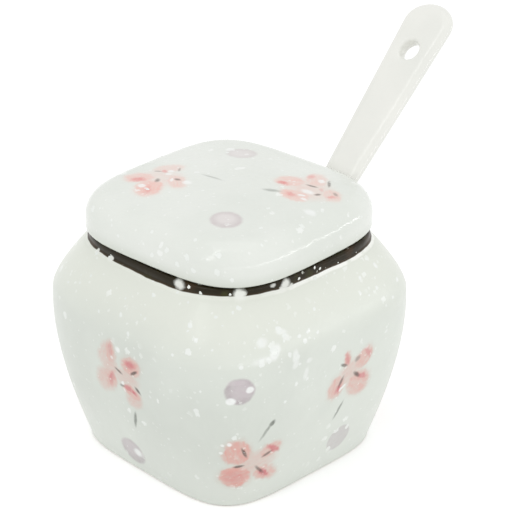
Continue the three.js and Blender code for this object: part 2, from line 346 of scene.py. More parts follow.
# %% Jar sizes and profile
belly_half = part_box("jar")[1][0] / MM
rim_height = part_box("jar")[1][2] / MM
FOOT_HALF, FOOT_CORNER, FOOT_EDGE = 34.0, 16.6, 1.4
FLARE_HEIGHT, BELLY_HEIGHT, BELLY_CORNER = 29.8, 48.2, 24.2
SHOULDER_TURN, SHOULDER_HEIGHT = 4.7, 65.1
NECK_HALF, NECK_CORNER, RIM_ROUND = 34.4, 21.5, 1.5
WALL, FLOOR, FLOOR_FILLET = 4.0, 5.0, 5.0
FOOT_RING, FOOT_HOLLOW = 5.0, 0.8
RING_BEND, RING_SLOPE = 1.0, 0.8  # how far the hollow's edge runs inside and outside the ring's inner line
FLECK_ROOM = 0.12  # the surface keeps this far inside the measured one, for the flecks on it


def curve(start, bend, end, steps):
    """Points on a curve whose end tangents meet at bend, from after start to end, in so many steps."""
    t = np.linspace(0, 1, steps + 1)[1:, None]
    return (1 - t) ** 2 * np.array(start) + 2 * t * (1 - t) * np.array(bend) + t ** 2 * np.array(end)


def line(start, end, steps):
    """Evenly spaced points from after start to end, in so many steps."""
    t = np.linspace(0, 1, steps + 1)[1:, None]
    return (1 - t) * np.array(start) + t * np.array(end)


foot_top = (FOOT_HALF, FOOT_EDGE)
belly = (belly_half - FLECK_ROOM, BELLY_HEIGHT)
neck_foot = (NECK_HALF, SHOULDER_HEIGHT)
outer = np.vstack([
    [foot_top],
    curve(foot_top, (belly[0], FLARE_HEIGHT), belly, 44),
    curve(belly, (belly[0], BELLY_HEIGHT + SHOULDER_TURN), neck_foot, 30),
    line(neck_foot, (NECK_HALF, rim_height - RIM_ROUND), 4),
])
fillet_top = FLOOR + FLOOR_FILLET
inner_foot = np.interp(fillet_top, outer[:, 1], outer[:, 0]) - WALL
over_fillet = outer[:, 1] > fillet_top + 0.5  # half a millimetre apart, so that no level is doubled
inner_wall = outer[over_fillet] - (WALL, 0)
mouth_half = NECK_HALF - WALL
print("Jar: belly", 2 * belly_half, "mm, mouth", 2 * mouth_half, "mm across")

# %% Jar body
STEPS_ROUND = 224
LEAST_CORNER = 0.05  # share of the half width, so that no corner is ever quite sharp


def jar_corner(half, height):
    """Plan radius at a point: the outside's at that height, less how far the point lies inside it."""
    heights = 0, BELLY_HEIGHT, SHOULDER_HEIGHT
    outside = np.interp(height, heights, (FOOT_CORNER, BELLY_CORNER, NECK_CORNER))
    return outside - (np.interp(height, outer[:, 1], outer[:, 0]) - half)


def profile_piece(name, points, corner):
    """A piece whose mesh is a profile: half width, corner reach and height at each level, in metres."""
    half, height = points.T
    radius = np.clip(corner(half, height), LEAST_CORNER * half, half)
    reach = math.sqrt(2) * (half - radius) + radius
    edges = [(i, i + 1) for i in range(len(points) - 1)]
    levels = np.stack([half, reach, height], axis=1) * MM
    return add(name, plain_mesh(name, levels.tolist(), edges))


ring_line = FOOT_HALF - FOOT_RING
hollow_edge = (ring_line - RING_BEND, FOOT_HOLLOW)
ring_inside = (ring_line + RING_SLOPE, 0)
ring_outside = (FOOT_HALF - FOOT_EDGE, 0)
rim_inside = (mouth_half + RIM_ROUND, rim_height)
floor_edge = (inner_foot - FLOOR_FILLET, FLOOR)
jar_profile = np.vstack([
    [(0, FOOT_HOLLOW)],
    line((0, FOOT_HOLLOW), hollow_edge, 8),
    curve(hollow_edge, (ring_line, FOOT_HOLLOW), ring_inside, 4),
    line(ring_inside, ring_outside, 4),
    curve(ring_outside, (FOOT_HALF, 0), foot_top, 6),
    outer[1:],
    curve(outer[-1], (NECK_HALF, rim_height), (NECK_HALF - RIM_ROUND, rim_height), 6),
    curve(rim_inside, (mouth_half, rim_height), (mouth_half, rim_height - RIM_ROUND), 6),
    inner_wall[::-1][1:],
    curve((inner_foot, fillet_top), (inner_foot, FLOOR), floor_edge, 8),
    line(floor_edge, (0, FLOOR), 8),
])
jar_glaze = bpy.data.materials.new("jar_glaze")
jar = profile_piece("jar_body", jar_profile, jar_corner)
run_tree(jar, lathe, steps_round=STEPS_ROUND, glaze=jar_glaze)
print("Jar body:", len(jar.data.polygons), "faces")

# %% [markdown]
# ## The lid
# The lid is a cushion-shaped slab with a low dome. It is hollow under the middle, and a flange inside the
# mouth stops it sliding off. The same lathe makes it. On the spoon's side a slot is cut through at the
# handle's slant. The real slot was cut in soft clay and its edges were wiped round. A bevel wants clean
# edges, which such a cut doesn't leave in a domed slab, so the cut lid is remeshed and smoothed a little
# instead.

# %% Lid sizes and profile
lid_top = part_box("lid")[1][2] / MM
LID_HEIGHT, LID_ROUND, LID_DOME, LID_FOOT_EDGE = 13.6, 7.8, 1.7, 1.0
LID_HALF, LID_CORNER, LID_HOLLOW = 34.7, 20.7, 7.0
LID_TURN = math.radians(3.5)  # the loose lid sits slightly turned
FLANGE_DEPTH, FLANGE_WALL, FLANGE_EDGE, FLANGE_CLEARANCE = 5.0, 3.2, 0.9, 1.4
seat = lid_top - LID_HEIGHT
lid_half = LID_HALF - FLECK_ROOM / 2
top_half = lid_half - LID_ROUND
flange = mouth_half - FLANGE_CLEARANCE
hollow = flange - FLANGE_WALL
dome_top = LID_HEIGHT - FLECK_ROOM / 2
round_top = dome_top - LID_DOME
side_top = round_top - LID_ROUND


def lid_corner(half, height):
    """Plan radius of the lid: the flange keeps to the mouth's, the outside and the top to the lid's own."""
    inside = (height < (LID_HOLLOW + LID_HEIGHT) / 2) & (half <= mouth_half)
    flange_radius = NECK_CORNER - WALL - (mouth_half - half)
    side_radius = LID_CORNER - (lid_half - half)
    top_radius = (LID_CORNER - LID_ROUND) * half / top_half
    return np.where(inside, flange_radius, np.where(half > top_half, side_radius, top_radius))


EDGE_STEPS = 14
edge_angles = np.linspace(0, math.pi / 2, EDGE_STEPS + 1)[1:, None]
edge_middle = np.array((top_half, side_top))
lid_edge = edge_middle + LID_ROUND * np.hstack([np.cos(edge_angles), np.sin(edge_angles)])
flange_foot = -FLANGE_DEPTH
edge_height = flange_foot + FLANGE_EDGE
foot_inside = (hollow + FLANGE_EDGE, flange_foot)
foot_outside = (flange - FLANGE_EDGE, flange_foot)
lid_profile = np.vstack([
    [(0, LID_HOLLOW)],
    line((0, LID_HOLLOW), (hollow - LID_HOLLOW, LID_HOLLOW), 10),
    curve((hollow - LID_HOLLOW, LID_HOLLOW), (hollow, LID_HOLLOW), (hollow, 0), 10),
    line((hollow, 0), (hollow, edge_height), 5),
    curve((hollow, edge_height), (hollow, flange_foot), foot_inside, 4),
    line(foot_inside, foot_outside, 2),
    curve(foot_outside, (flange, flange_foot), (flange, edge_height), 4),
    line((flange, edge_height), (flange, 0), 5),
    line((flange, 0), (lid_half - LID_FOOT_EDGE, 0), 6),
    curve((lid_half - LID_FOOT_EDGE, 0), (lid_half, 0), (lid_half, LID_FOOT_EDGE), 5),
    line((lid_half, LID_FOOT_EDGE), (lid_half, side_top), 3),
    lid_edge,
    curve(lid_edge[-1], (top_half / 2, dome_top), (0, dome_top), 24),
])
lid_glaze = bpy.data.materials.new("lid_glaze")
lid = profile_piece("lid_body", lid_profile, lid_corner)
run_tree(lid, lathe, steps_round=STEPS_ROUND, glaze=lid_glaze)
lid.data.transform(Matrix.Translation((0, 0, seat * MM)) @ Matrix.Rotation(LID_TURN, 4, "Z"))
print("Lid: seat at", round(seat, 2), "mm,", len(lid.data.polygons), "faces before the slot")

# %% [markdown]
# ## Where the spoon lies
# The spoon can slide along its handle, so the joint's axis is the handle's direction. Its tip rests near
# the jar's floor and its handle on the mouth's edge. An outline is easiest to write down flat, so the
# spoon is drawn with its tip at the origin and its length along y, then leaned and set down where the
# measured spoon lies.

# %% Spoon sizes and lean
spoon_low, spoon_high = [np.array(corner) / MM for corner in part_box("spoon")]
draw = next(joint for joint in frame["joints"] if joint["name"] == "spoon_draw")
handle_axis = Vector(draw["axis"]).normalized()
LEAN = math.atan2(handle_axis.y, handle_axis.z)  # from upright
SPOON_LENGTH, BOWL_EDGE, HANDLE_EDGE = 153.4, 1.4, 3.2
BOWL_LENGTH, BOWL_WIDEST, BOWL_WIDTH, BOWL_DEPTH, BOWL_WALL = 40.0, 17.0, 25.0, 7.0, 2.8
ROOT_WIDTH, END_WIDTH, END_ROUND, HANDLE_THICKNESS = 7.2, 17.1, 7.0, 4.3
HANG_HOLE, HANG_INSET, HANG_SOFT = 5.6, 16.2, 0.9
TIP_STEPS, BOWL_STEPS, HANDLE_STEPS = 18, 24, 50
handle_end = SPOON_LENGTH - END_ROUND
print("Spoon leans", round(math.degrees(LEAN), 2), "degrees from upright")

# %% Spoon outline
def spoon_outline():
    """Half widths along the spoon: tip, sides drawn in to the handle, handle and rounded end."""
    quarter = np.linspace(0, math.pi / 2, TIP_STEPS + 1)[:, None]
    tip = np.hstack([BOWL_WIDTH / 2 * np.sin(quarter), BOWL_WIDEST * (1 - np.cos(quarter))])
    t = np.linspace(0, 1, BOWL_STEPS + 1)[1:, None]
    middle = (BOWL_WIDEST + BOWL_LENGTH) / 2
    wide, root = BOWL_WIDTH / 2, ROOT_WIDTH / 2
    ease = (1 - t) ** 3 + 3 * t * (1 - t) ** 2
    along = (1 - t) ** 3 * BOWL_WIDEST + 3 * t * (1 - t) * middle + t ** 3 * BOWL_LENGTH
    sides = np.hstack([root + (wide - root) * ease, along])
    handle = line((root, BOWL_LENGTH), (END_WIDTH / 2, handle_end), HANDLE_STEPS)
    end = np.hstack([END_WIDTH / 2 * np.cos(quarter[1:]), handle_end + END_ROUND * np.sin(quarter[1:])])
    return np.vstack([tip, sides, handle, end])


outline = spoon_outline()
outline[0, 0] = outline[-1, 0] = 0
print("Outline points:", len(outline))

# %% [markdown]
# A spoon of this kind is pressed in a two-part mould: a flat strip with rounded edges, dished at the
# bowl. Each cross-section is an oval whose crown is full in the middle and falls off near the outline. A
# subdivided box could be pushed into this shape, but a loft of such ovals keeps to the outline exactly.

# %% Loft helpers
def edge_distance(across, along):
    """Distance from points to the outline."""
    point = np.stack([across, along], axis=1)[:, None, :]
    start, end = outline[None, :-1], outline[None, 1:]
    t = np.sum((point - start) * (end - start), axis=2) / np.sum((end - start) ** 2, axis=2)
    nearest = start + np.clip(t, 0, 1)[:, :, None] * (end - start)
    return np.linalg.norm(point - nearest, axis=2).min(axis=1)


def loft_faces(rows, count):
    """Faces between rows of points that each close round."""
    made = []
    for first in range(0, (rows - 1) * count, count):
        for step in range(count):
            beside = (step + 1) % count
            made.append((first + step, first + beside, first + count + beside, first + count + step))
    return made


def face_outward(mesh):
    """Merges doubled points and turns the faces outward."""
    form = bmesh.new()
    form.from_mesh(mesh)
    bmesh.ops.remove_doubles(form, verts=form.verts, dist=MERGED)
    bmesh.ops.recalc_face_normals(form, faces=form.faces)
    form.to_mesh(mesh)
    form.free()


bowl_middle = edge_distance(np.zeros(1), np.array([BOWL_WIDEST]))
print("From the bowl's middle to its edge:", bowl_middle.round(2).tolist(), "mm")

# %% Spoon body
SPOON_STEPS = 48
turns = np.arange(SPOON_STEPS) * 2 * math.pi / SPOON_STEPS
half = np.repeat(outline[:, 0], SPOON_STEPS)
along = np.repeat(outline[:, 1], SPOON_STEPS)
turn = np.tile(turns, len(outline))
across = half * np.sin(turn)
bowl_part = np.clip((BOWL_LENGTH - along) / (BOWL_LENGTH - BOWL_WIDEST), 0, 1)
thickness = HANDLE_THICKNESS + (BOWL_WALL - HANDLE_THICKNESS) * bowl_part
edge_width = HANDLE_EDGE + (BOWL_EDGE - HANDLE_EDGE) * bowl_part
inset = np.minimum(edge_distance(np.abs(across), along) / edge_width, 1)
crown = thickness / 2 * np.sqrt(1 - (1 - inset) ** 2)
spread = (half - ROOT_WIDTH / 2) / (BOWL_WIDTH / 2 - ROOT_WIDTH / 2)
spread = np.where(along < BOWL_LENGTH, np.clip(spread, 0, 1), 0)
dish = BOWL_DEPTH * spread * np.cos(turn) ** 2
face_side = np.sign(np.round(np.cos(turn), 6))  # 1 over the spoon, -1 under it, 0 at its edge
spoon_points = np.stack([across, along, face_side * crown - dish], axis=1) * MM

spoon_glaze = bpy.data.materials.new("spoon_glaze")
spoon_faces = loft_faces(len(outline), SPOON_STEPS)
spoon = add("spoon_body", plain_mesh("spoon_body", spoon_points.tolist(), faces=spoon_faces))
face_outward(spoon.data)
print("Spoon loft:", len(spoon.data.polygons), "faces")

# %% [markdown]
# ## Cutting the slot and the hanging hole
# Both cuts are made with a closed shape that is taken away. The hole's cutter is a reel that flares at
# both faces, which leaves the hole's edge soft. The slot's cutter is a long bar with a rounded roof,
# wider than the handle by a clearance, laid along the handle's direction.

# %% Cutting helpers
SMOOTHED = 0.5  # how far each smoothing pass moves a point towards its neighbours


def closed_loft(name, rings):
    """A closed body through rings of points, with a flat face over each end ring."""
    count = len(rings[0])
    points = [tuple(np.array(point) * MM) for ring in rings for point in ring]
    made = loft_faces(len(rings), count)
    made.append(tuple(reversed(range(count))))
    made.append(tuple(range((len(rings) - 1) * count, len(rings) * count)))
    mesh = plain_mesh(name, points, faces=made)
    face_outward(mesh)
    return add(name, mesh)


def cut(piece, cutter):
    """Takes a cutter away from a piece."""
    modifier = piece.modifiers.new("cut", "BOOLEAN")
    modifier.operation = "DIFFERENCE"
    modifier.solver = "EXACT"
    modifier.object = cutter
    settle(piece)
    bpy.data.objects.remove(cutter)


def round_edges(piece, glaze, cell, passes):
    """Remeshes a piece in small cells and smooths it, which rounds its cut edges, and glazes it."""
    remesh = piece.modifiers.new("remesh", "REMESH")
    remesh.mode = "VOXEL"
    remesh.voxel_size = cell * MM
    remesh.use_smooth_shade = True
    smooth = piece.modifiers.new("smooth", "SMOOTH")
    smooth.factor = SMOOTHED
    smooth.iterations = passes
    settle(piece)
    piece.data.materials.clear()
    piece.data.materials.append(glaze)


print("Faces before the cuts: spoon", len(spoon.data.polygons), "and lid", len(lid.data.polygons))

# %% Hanging hole
THROAT_WIDER, THROAT_DEEPER = 0.3, 0.6  # where the flare ends, as shares of the softness
top = HANDLE_THICKNESS / 2
hole = HANG_HOLE / 2
flare = (hole + 2 * HANG_SOFT, -top - HANG_SOFT)
throat = (hole + THROAT_WIDER * HANG_SOFT, -top + THROAT_DEEPER * HANG_SOFT)
reel = [flare, throat, (hole, 0)]  # radius and height of each ring, in the lower half
reel += [(radius, -height) for radius, height in (throat, flare)]
circle = [(math.cos(turn), math.sin(turn)) for turn in turns]
hole_middle = SPOON_LENGTH - HANG_INSET
hole_rings = [[(r * x, hole_middle + r * y, z) for x, y in circle] for r, z in reel]
cut(spoon, closed_loft("hole_cutter", hole_rings))
round_edges(spoon, spoon_glaze, cell=0.35, passes=4)
print("Hanging hole:", HANG_HOLE, "mm wide,", HANG_INSET, "mm from the end")

# %% Lay the spoon down
def points_of(body):
    """A body's points in millimetres."""
    return np.array([tuple(vertex.co) for vertex in body.data.vertices]) / MM


spoon.data.transform(Matrix.Rotation(math.pi / 2 - LEAN, 4, "X"))
corners = points_of(spoon)
shift = (spoon_low + spoon_high) / 2 - (corners.min(axis=0) + corners.max(axis=0)) / 2
spoon.data.transform(Matrix.Translation(Vector(shift) * MM))
tip = Vector(shift)
print("Spoon tip in mm:", [round(value, 2) for value in tip], "faces:", len(spoon.data.polygons))

# %% Slot through the lid
NOTCH_CLEARANCE, NOTCH_ROUND, NOTCH_STEPS = 1.2, 2.7, 8
seat_along = (seat - tip.z) / handle_axis.z
top_along = seat_along + LID_HEIGHT / handle_axis.z
width_there = np.interp(top_along, (BOWL_LENGTH, handle_end), (ROOT_WIDTH, END_WIDTH))
slot_half = width_there / 2 + NOTCH_CLEARANCE
slot_roof = HANDLE_THICKNESS / 2 + NOTCH_CLEARANCE
roof_half = slot_half - NOTCH_ROUND
wall_top = slot_roof - NOTCH_ROUND
far = 2 * LID_HALF
section = np.vstack([
    [(-slot_half, -far), (slot_half, -far), (slot_half, wall_top)],
    curve((slot_half, wall_top), (slot_half, slot_roof), (roof_half, slot_roof), NOTCH_STEPS),
    [(-roof_half, slot_roof)],
    curve((-roof_half, slot_roof), (-slot_half, slot_roof), (-slot_half, wall_top), NOTCH_STEPS),
])
across_axis = Vector((1, 0, 0))
outward = across_axis.cross(handle_axis)
middle = tip + handle_axis * seat_along


def bar_ring(distance):
    """The slot's section, set at a distance along the handle."""
    return [tuple(middle + across_axis * x + outward * y + handle_axis * distance) for x, y in section]


cut(lid, closed_loft("slot_cutter", [bar_ring(-far), bar_ring(far)]))
round_edges(lid, lid_glaze, cell=0.45, passes=3)
print("Lid after the slot:", len(lid.data.polygons), "faces; slot", round(2 * slot_half, 1), "mm wide")

# %% [markdown]
# Each piece now rides the body that it belongs to, so that it moves with the joint, and stands for the
# measured piece of that name.

# %% Give the pieces to their bodies
for piece, body in ((jar, "jar"), (lid, "lid"), (spoon, "spoon")):
    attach(piece, body)
    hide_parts(body)
print("Pieces:", [piece.name for piece in (jar, lid, spoon)])

# %% [markdown]
# ## Plain glaze
# A clear glaze over pale slip is glossy and never quite even: its tone drifts, fine specks lie in it, and
# its surface is a little wavy. An image of a glaze would show seams. Noise that is read by the place in
# millimetres has none, and looks the same size on every piece. The same start serves all three pieces,
# and the painting is mixed in before it reaches the surface shader.

# %% Glaze helpers
COLOUR = 1  # a noise texture's second output
SPECK_BEND, BENDS_TO_CELL = 0.7, 2.2  # how far noise bends the pattern of specks, and how often, in cells
SPECK_SOFTNESS = 0.06  # in cells
EMPTY_CELL = -0.1  # a radius below zero leaves a cell without a speck


def blend(tree, factor, first, second):
    """Mixes two colours."""
    node = put(tree, "ShaderNodeMix", {"Factor": factor, "A": first, "B": second}, data_type="RGBA")
    return node.outputs["Result"]


def ramp(tree, value, low, high, to=(0.0, 1.0)):
    """A soft step from low to high."""
    return span(tree, value, low, high, to, "SMOOTHSTEP")


def noise(tree, where, scale, detail=2.0, output=0):
    """A noise texture's value, or its colour."""
    texture = put(tree, "ShaderNodeTexNoise", {"Vector": where, "Scale": scale, "Detail": detail})
    return texture.outputs[output]


def specks(tree, where, per_mm, share, size, strength):
    """White drops caught in the glaze: some of the cells of a distorted cell pattern, by chance."""
    bent = noise(tree, where, per_mm * BENDS_TO_CELL, output=COLOUR)
    bent = vector(tree, "MULTIPLY", bent, (SPECK_BEND / per_mm,) * 3)
    loose = vector(tree, "ADD", where, bent)
    cells = put(tree, "ShaderNodeTexVoronoi", {"Vector": loose, "Scale": per_mm})
    lot = put(tree, "ShaderNodeSeparateColor", {0: cells.outputs["Color"]}).outputs[0]
    radius = span(tree, lot, 1 - share, 1, (EMPTY_CELL, size))
    beyond = calc(tree, "SUBTRACT", cells.outputs["Distance"], radius)
    return calc(tree, "MULTIPLY", ramp(tree, beyond, SPECK_SOFTNESS, -SPECK_SOFTNESS), strength)


print("Specks are bent by up to", SPECK_BEND, "of a cell")

# %% Surface of a glaze
DRIFT_SCALE = 0.035  # waves of noise to the millimetre, as for every noise on the glazes
WAVE_SCALE, RIPPLE_SCALE, DULL_SCALE = 0.12, 0.32, 0.8
RIPPLE_SHARE, BUMP_STRENGTH = 0.3, 0.45
DRIFT_NOISE, DULL_NOISE = (0.3, 0.7), (0.2, 0.8)  # range of the noise that sets the tone and the sheen
SHEEN_RANGE = 0.94, 1.1  # least and most roughness, over the glaze's own


def start_glaze(material, tone, shade):
    """Empties a material. Gives its tree, a position in millimetres and a base colour that drifts."""
    material.use_nodes = True
    tree = material.node_tree
    tree.nodes.clear()
    place = put(tree, "ShaderNodeTexCoord").outputs["Object"]
    where = vector(tree, "MULTIPLY", place, (1 / MM,) * 3)
    drift = ramp(tree, noise(tree, where, DRIFT_SCALE, detail=3.0), *DRIFT_NOISE)
    base = blend(tree, drift, screen(*tone), screen(*shade))
    return tree, where, base


def finish_glaze(tree, where, colour, roughness=0.14, ior=1.5, wave=0.6 * MM):
    """The surface shader: the colour under a glossy, slightly wavy glaze."""
    waves = noise(tree, where, WAVE_SCALE)
    ripples = noise(tree, where, RIPPLE_SCALE, detail=1.0)
    dulled = noise(tree, where, DULL_SCALE)
    height = calc(tree, "ADD", waves, calc(tree, "MULTIPLY", ripples, RIPPLE_SHARE))
    bump = put(tree, "ShaderNodeBump", {"Strength": BUMP_STRENGTH, "Distance": wave, "Height": height})
    sheen = ramp(tree, dulled, *DULL_NOISE, [roughness * share for share in SHEEN_RANGE])
    shader = put(tree, "ShaderNodeBsdfPrincipled", {
        "Base Color": colour, "Roughness": sheen, "Normal": bump.outputs[0], "IOR": ior})
    put(tree, "ShaderNodeOutputMaterial", {"Surface": shader.outputs[0]})


print("Waves of the glaze:", round(1 / WAVE_SCALE, 1), "mm, ripples:", round(1 / RIPPLE_SCALE, 1), "mm")

# %% Spoon glaze
SPOON_TONES = (240, 240, 234), (233, 234, 228)
tree, where, base = start_glaze(spoon_glaze, *SPOON_TONES)
finish_glaze(tree, where, base)
print("Spoon glaze nodes:", len(tree.nodes))

# %% [markdown]
# ## Painted flowers
# Each flower is four loose petals laid with a wet brush: a streaky wash that bleeds a little, a darker
# pink dropped in while it was wet, a few grey-brown touches where the petals meet, and a short stem. A
# lilac dot is put between flowers, and white glaze was flicked over all of it. They could be painted on
# an image and wrapped round the jar, but nodes need no unwrapping and stay sharp from close by. Every
# touch of the brush is one soft oval: a mapping node carries its place, slant and size, and the distance
# from its middle fades the colour out.
#
# The sizes below are in millimetres on the unrolled side: across, up, half length, half width, slant in
# degrees, softness and strength.

# %% Brush helpers
THROUGH = 1e6  # an oval reaches through the wall, whatever its depth
BRISTLES = (0.9, 3.6, 0)  # streaks to half a length and to half a width of an oval
STREAK_NOISE, STREAK_STRENGTH = (0.3, 0.65), (0.62, 1.0)  # range of the noise, and of what it gives
BLEED_GROWTH, BLEED_RIM = 1.05, 0.35  # the wash crept outward by a share and by millimetres
BLEED_SOFTNESS, BLEED_STRENGTH = 0.35, 0.6


def touches(tree, where, strokes, bristles=False):
    """The strongest of several soft ovals at each point. Bristles streak an oval along its length."""
    total = None
    for across, up_wall, length, width, slant, softness, strength in strokes:
        middle = (across, up_wall, 0)
        oval = put(tree, "ShaderNodeMapping", {
            "Vector": where,
            "Location": middle,
            "Rotation": (0, 0, math.radians(slant)),
            "Scale": (length, width, THROUGH),
        }, vector_type="TEXTURE").outputs[0]
        far = put(tree, "ShaderNodeVectorMath", {0: oval}, operation="LENGTH").outputs["Value"]
        mark = ramp(tree, far, 1 + softness, 1 - softness, (0.0, strength))
        if bristles:
            drawn = vector(tree, "ADD", vector(tree, "MULTIPLY", oval, BRISTLES), middle)
            streak = ramp(tree, noise(tree, drawn, 1.0), *STREAK_NOISE, STREAK_STRENGTH)
            mark = calc(tree, "MULTIPLY", mark, streak)
        total = mark if total is None else calc(tree, "MAXIMUM", total, mark)
    return total


def with_bleed(strokes):
    """Strokes with a pale rim round each petal, where the wet wash crept outward."""
    rims = []
    for across, up_wall, length, width, slant, _, strength in strokes["wash"]:
        reach = [BLEED_GROWTH * size + BLEED_RIM for size in (length, width)]
        rims.append((across, up_wall, *reach, slant, BLEED_SOFTNESS, BLEED_STRENGTH * strength))
    return {"bleed": rims, **strokes}


print("Streaks over the width of a petal:", 2 * BRISTLES[1])

# %% Paints
PAINT = {
    "bleed": (210, 193, 182),
    "wash": (224, 168, 158),
    "deep": (207, 118, 122),
    "stem": (112, 117, 108),
    "touch": (86, 74, 66),
    "dot": (183, 173, 176),
    "dot_middle": (228, 218, 222),
    "snow": (246, 248, 246),
}
LID_PAINT = {
    **PAINT,
    "bleed": (238, 214, 203),
    "wash": (243, 176, 165),
    "deep": (228, 140, 136),
    "dot": (200, 183, 187),
    "dot_middle": (232, 227, 225),
}
WET = "bleed", "wash", "deep"
WOBBLE_SCALE = 0.5
WET_WOBBLE, DRY_WOBBLE = 2.0, 0.6  # over how many mm the wet and the dry strokes wander
GRAIN_SCALE, GRAIN_NOISE = 0.8, (0.25, 0.75)
GRAIN_STRENGTH = 0.8, 1.06  # of the paint, where it is thin and where it is thick


def paint_flowers(tree, where, spot, colour, strokes, paint=PAINT):
    """Lays each colour of paint over the glaze. The spot is the place on the unrolled side."""
    wobble = noise(tree, where, WOBBLE_SCALE, detail=4.0, output=COLOUR)
    wobble = vector(tree, "SUBTRACT", wobble, (0.5,) * 3)
    loose = vector(tree, "MULTIPLY_ADD", wobble, (WET_WOBBLE,) * 3, spot)
    steady = vector(tree, "MULTIPLY_ADD", wobble, (DRY_WOBBLE,) * 3, spot)
    grain = ramp(tree, noise(tree, where, GRAIN_SCALE, detail=3.0), *GRAIN_NOISE, GRAIN_STRENGTH)
    for name, tone in paint.items():
        place = loose if name in WET else steady
        mark = touches(tree, place, strokes[name], bristles=name == "wash")
        colour = blend(tree, calc(tree, "MULTIPLY", mark, grain), colour, screen(*tone))
    return colour


print("Paints:", ", ".join(PAINT))

# %% Flowers of the sides and corners
FACE_A = {
    "wash": [(-2.9, 41.6, 3.7, 2.0, 86, 0.30, 0.70), (-5.4, 40.4, 4.0, 2.2, 60, 0.45, 0.42),
             (-4.2, 32.6, 3.4, 2.4, 62, 0.30, 0.78), (-6.6, 31.4, 4.2, 3.2, 48, 0.40, 0.50),
             (5.4, 40.2, 3.9, 2.9, 25, 0.22, 0.84), (4.4, 31.4, 3.6, 2.2, -12, 0.25, 0.80),
             (4.8, 29.2, 3.4, 2.5, 30, 0.40, 0.46), (-3.6, 36.8, 3.2, 2.4, 10, 0.5, 0.50),
             (2.8, 35.6, 4.6, 2.6, 0, 0.6, 0.42)],
    "deep": [(-2.8, 42.6, 2.2, 0.8, 85, 0.6, 0.38), (-3.8, 33.0, 2.4, 0.9, 65, 0.6, 0.72),
             (5.2, 40.9, 2.0, 1.1, 15, 0.6, 0.85), (3.0, 32.3, 1.6, 0.9, -10, 0.5, 0.88),
             (5.4, 31.7, 1.2, 0.6, -20, 0.5, 0.95)],
    "stem": [(3.4, 21.6, 2.9, 0.58, 74, 0.45, 0.82)],
    "touch": [(-0.1, 36.8, 1.5, 0.45, -22, 0.5, 0.85), (6.5, 38.7, 1.7, 0.48, 38, 0.5, 0.90),
              (0.6, 32.2, 1.0, 0.40, 10, 0.6, 0.65), (7.3, 33.2, 1.3, 0.50, -42, 0.5, 0.85)],
    "dot": [(-2.2, 7.3, 4.7, 4.3, 0, 0.15, 0.76)],
    "dot_middle": [(-2.9, 8.1, 3.6, 3.1, 0, 0.45, 0.34)],
    "snow": [(-0.1, 7.7, 1.7, 1.3, 25, 0.4, 0.95), (0.5, 43.9, 0.9, 0.8, 0, 0.5, 0.80),
             (1.0, 33.2, 0.8, 0.5, 60, 0.5, 0.85), (1.3, 30.9, 0.7, 0.4, -60, 0.5, 0.70),
             (-2.4, 40.2, 0.6, 0.5, 0, 0.5, 0.60)],
}
FACE_B = {
    "wash": [(4.6, 39.3, 2.5, 1.25, 104, 0.25, 0.78), (11.5, 37.3, 3.8, 2.8, 34, 0.22, 0.70),
             (10.7, 29.4, 5.0, 3.9, -35, 0.20, 0.74), (1.2, 31.4, 3.7, 3.2, 70, 0.22, 0.72),
             (6.0, 34.4, 4.4, 3.4, 30, 0.5, 0.45)],
    "deep": [(4.5, 39.4, 1.9, 0.7, 104, 0.6, 0.72), (13.2, 38.4, 2.0, 0.8, -48, 0.55, 0.55),
             (11.6, 31.2, 2.2, 0.75, -30, 0.5, 0.80), (2.3, 30.5, 1.7, 0.95, 60, 0.55, 0.95)],
    "stem": [(4.3, 22.3, 2.7, 0.48, 62, 0.55, 0.75)],
    "touch": [(3.3, 38.0, 1.4, 0.50, -28, 0.5, 0.80), (8.8, 38.0, 1.0, 0.70, 20, 0.65, 0.55),
              (9.3, 32.6, 1.7, 0.60, -42, 0.55, 0.85), (3.0, 32.5, 1.8, 0.50, 66, 0.6, 0.75)],
    "dot": [(7.7, 10.4, 4.5, 4.2, 20, 0.09, 0.54)],
    "dot_middle": [(7.5, 10.2, 3.9, 3.6, 20, 0.30, 0.10)],
    "snow": [(4.0, 30.3, 1.3, 0.45, 25, 0.4, 0.90), (3.2, 29.9, 0.7, 0.50, 60, 0.4, 0.80),
             (-16.3, 48.4, 1.8, 1.0, 80, 0.45, 0.60), (-16.2, 45.9, 1.3, 1.0, 60, 0.45, 0.55),
             (-12.1, 41.5, 1.8, 0.8, 75, 0.5, 0.50), (-11.1, 45.4, 1.0, 0.7, 0, 0.5, 0.50)],
}
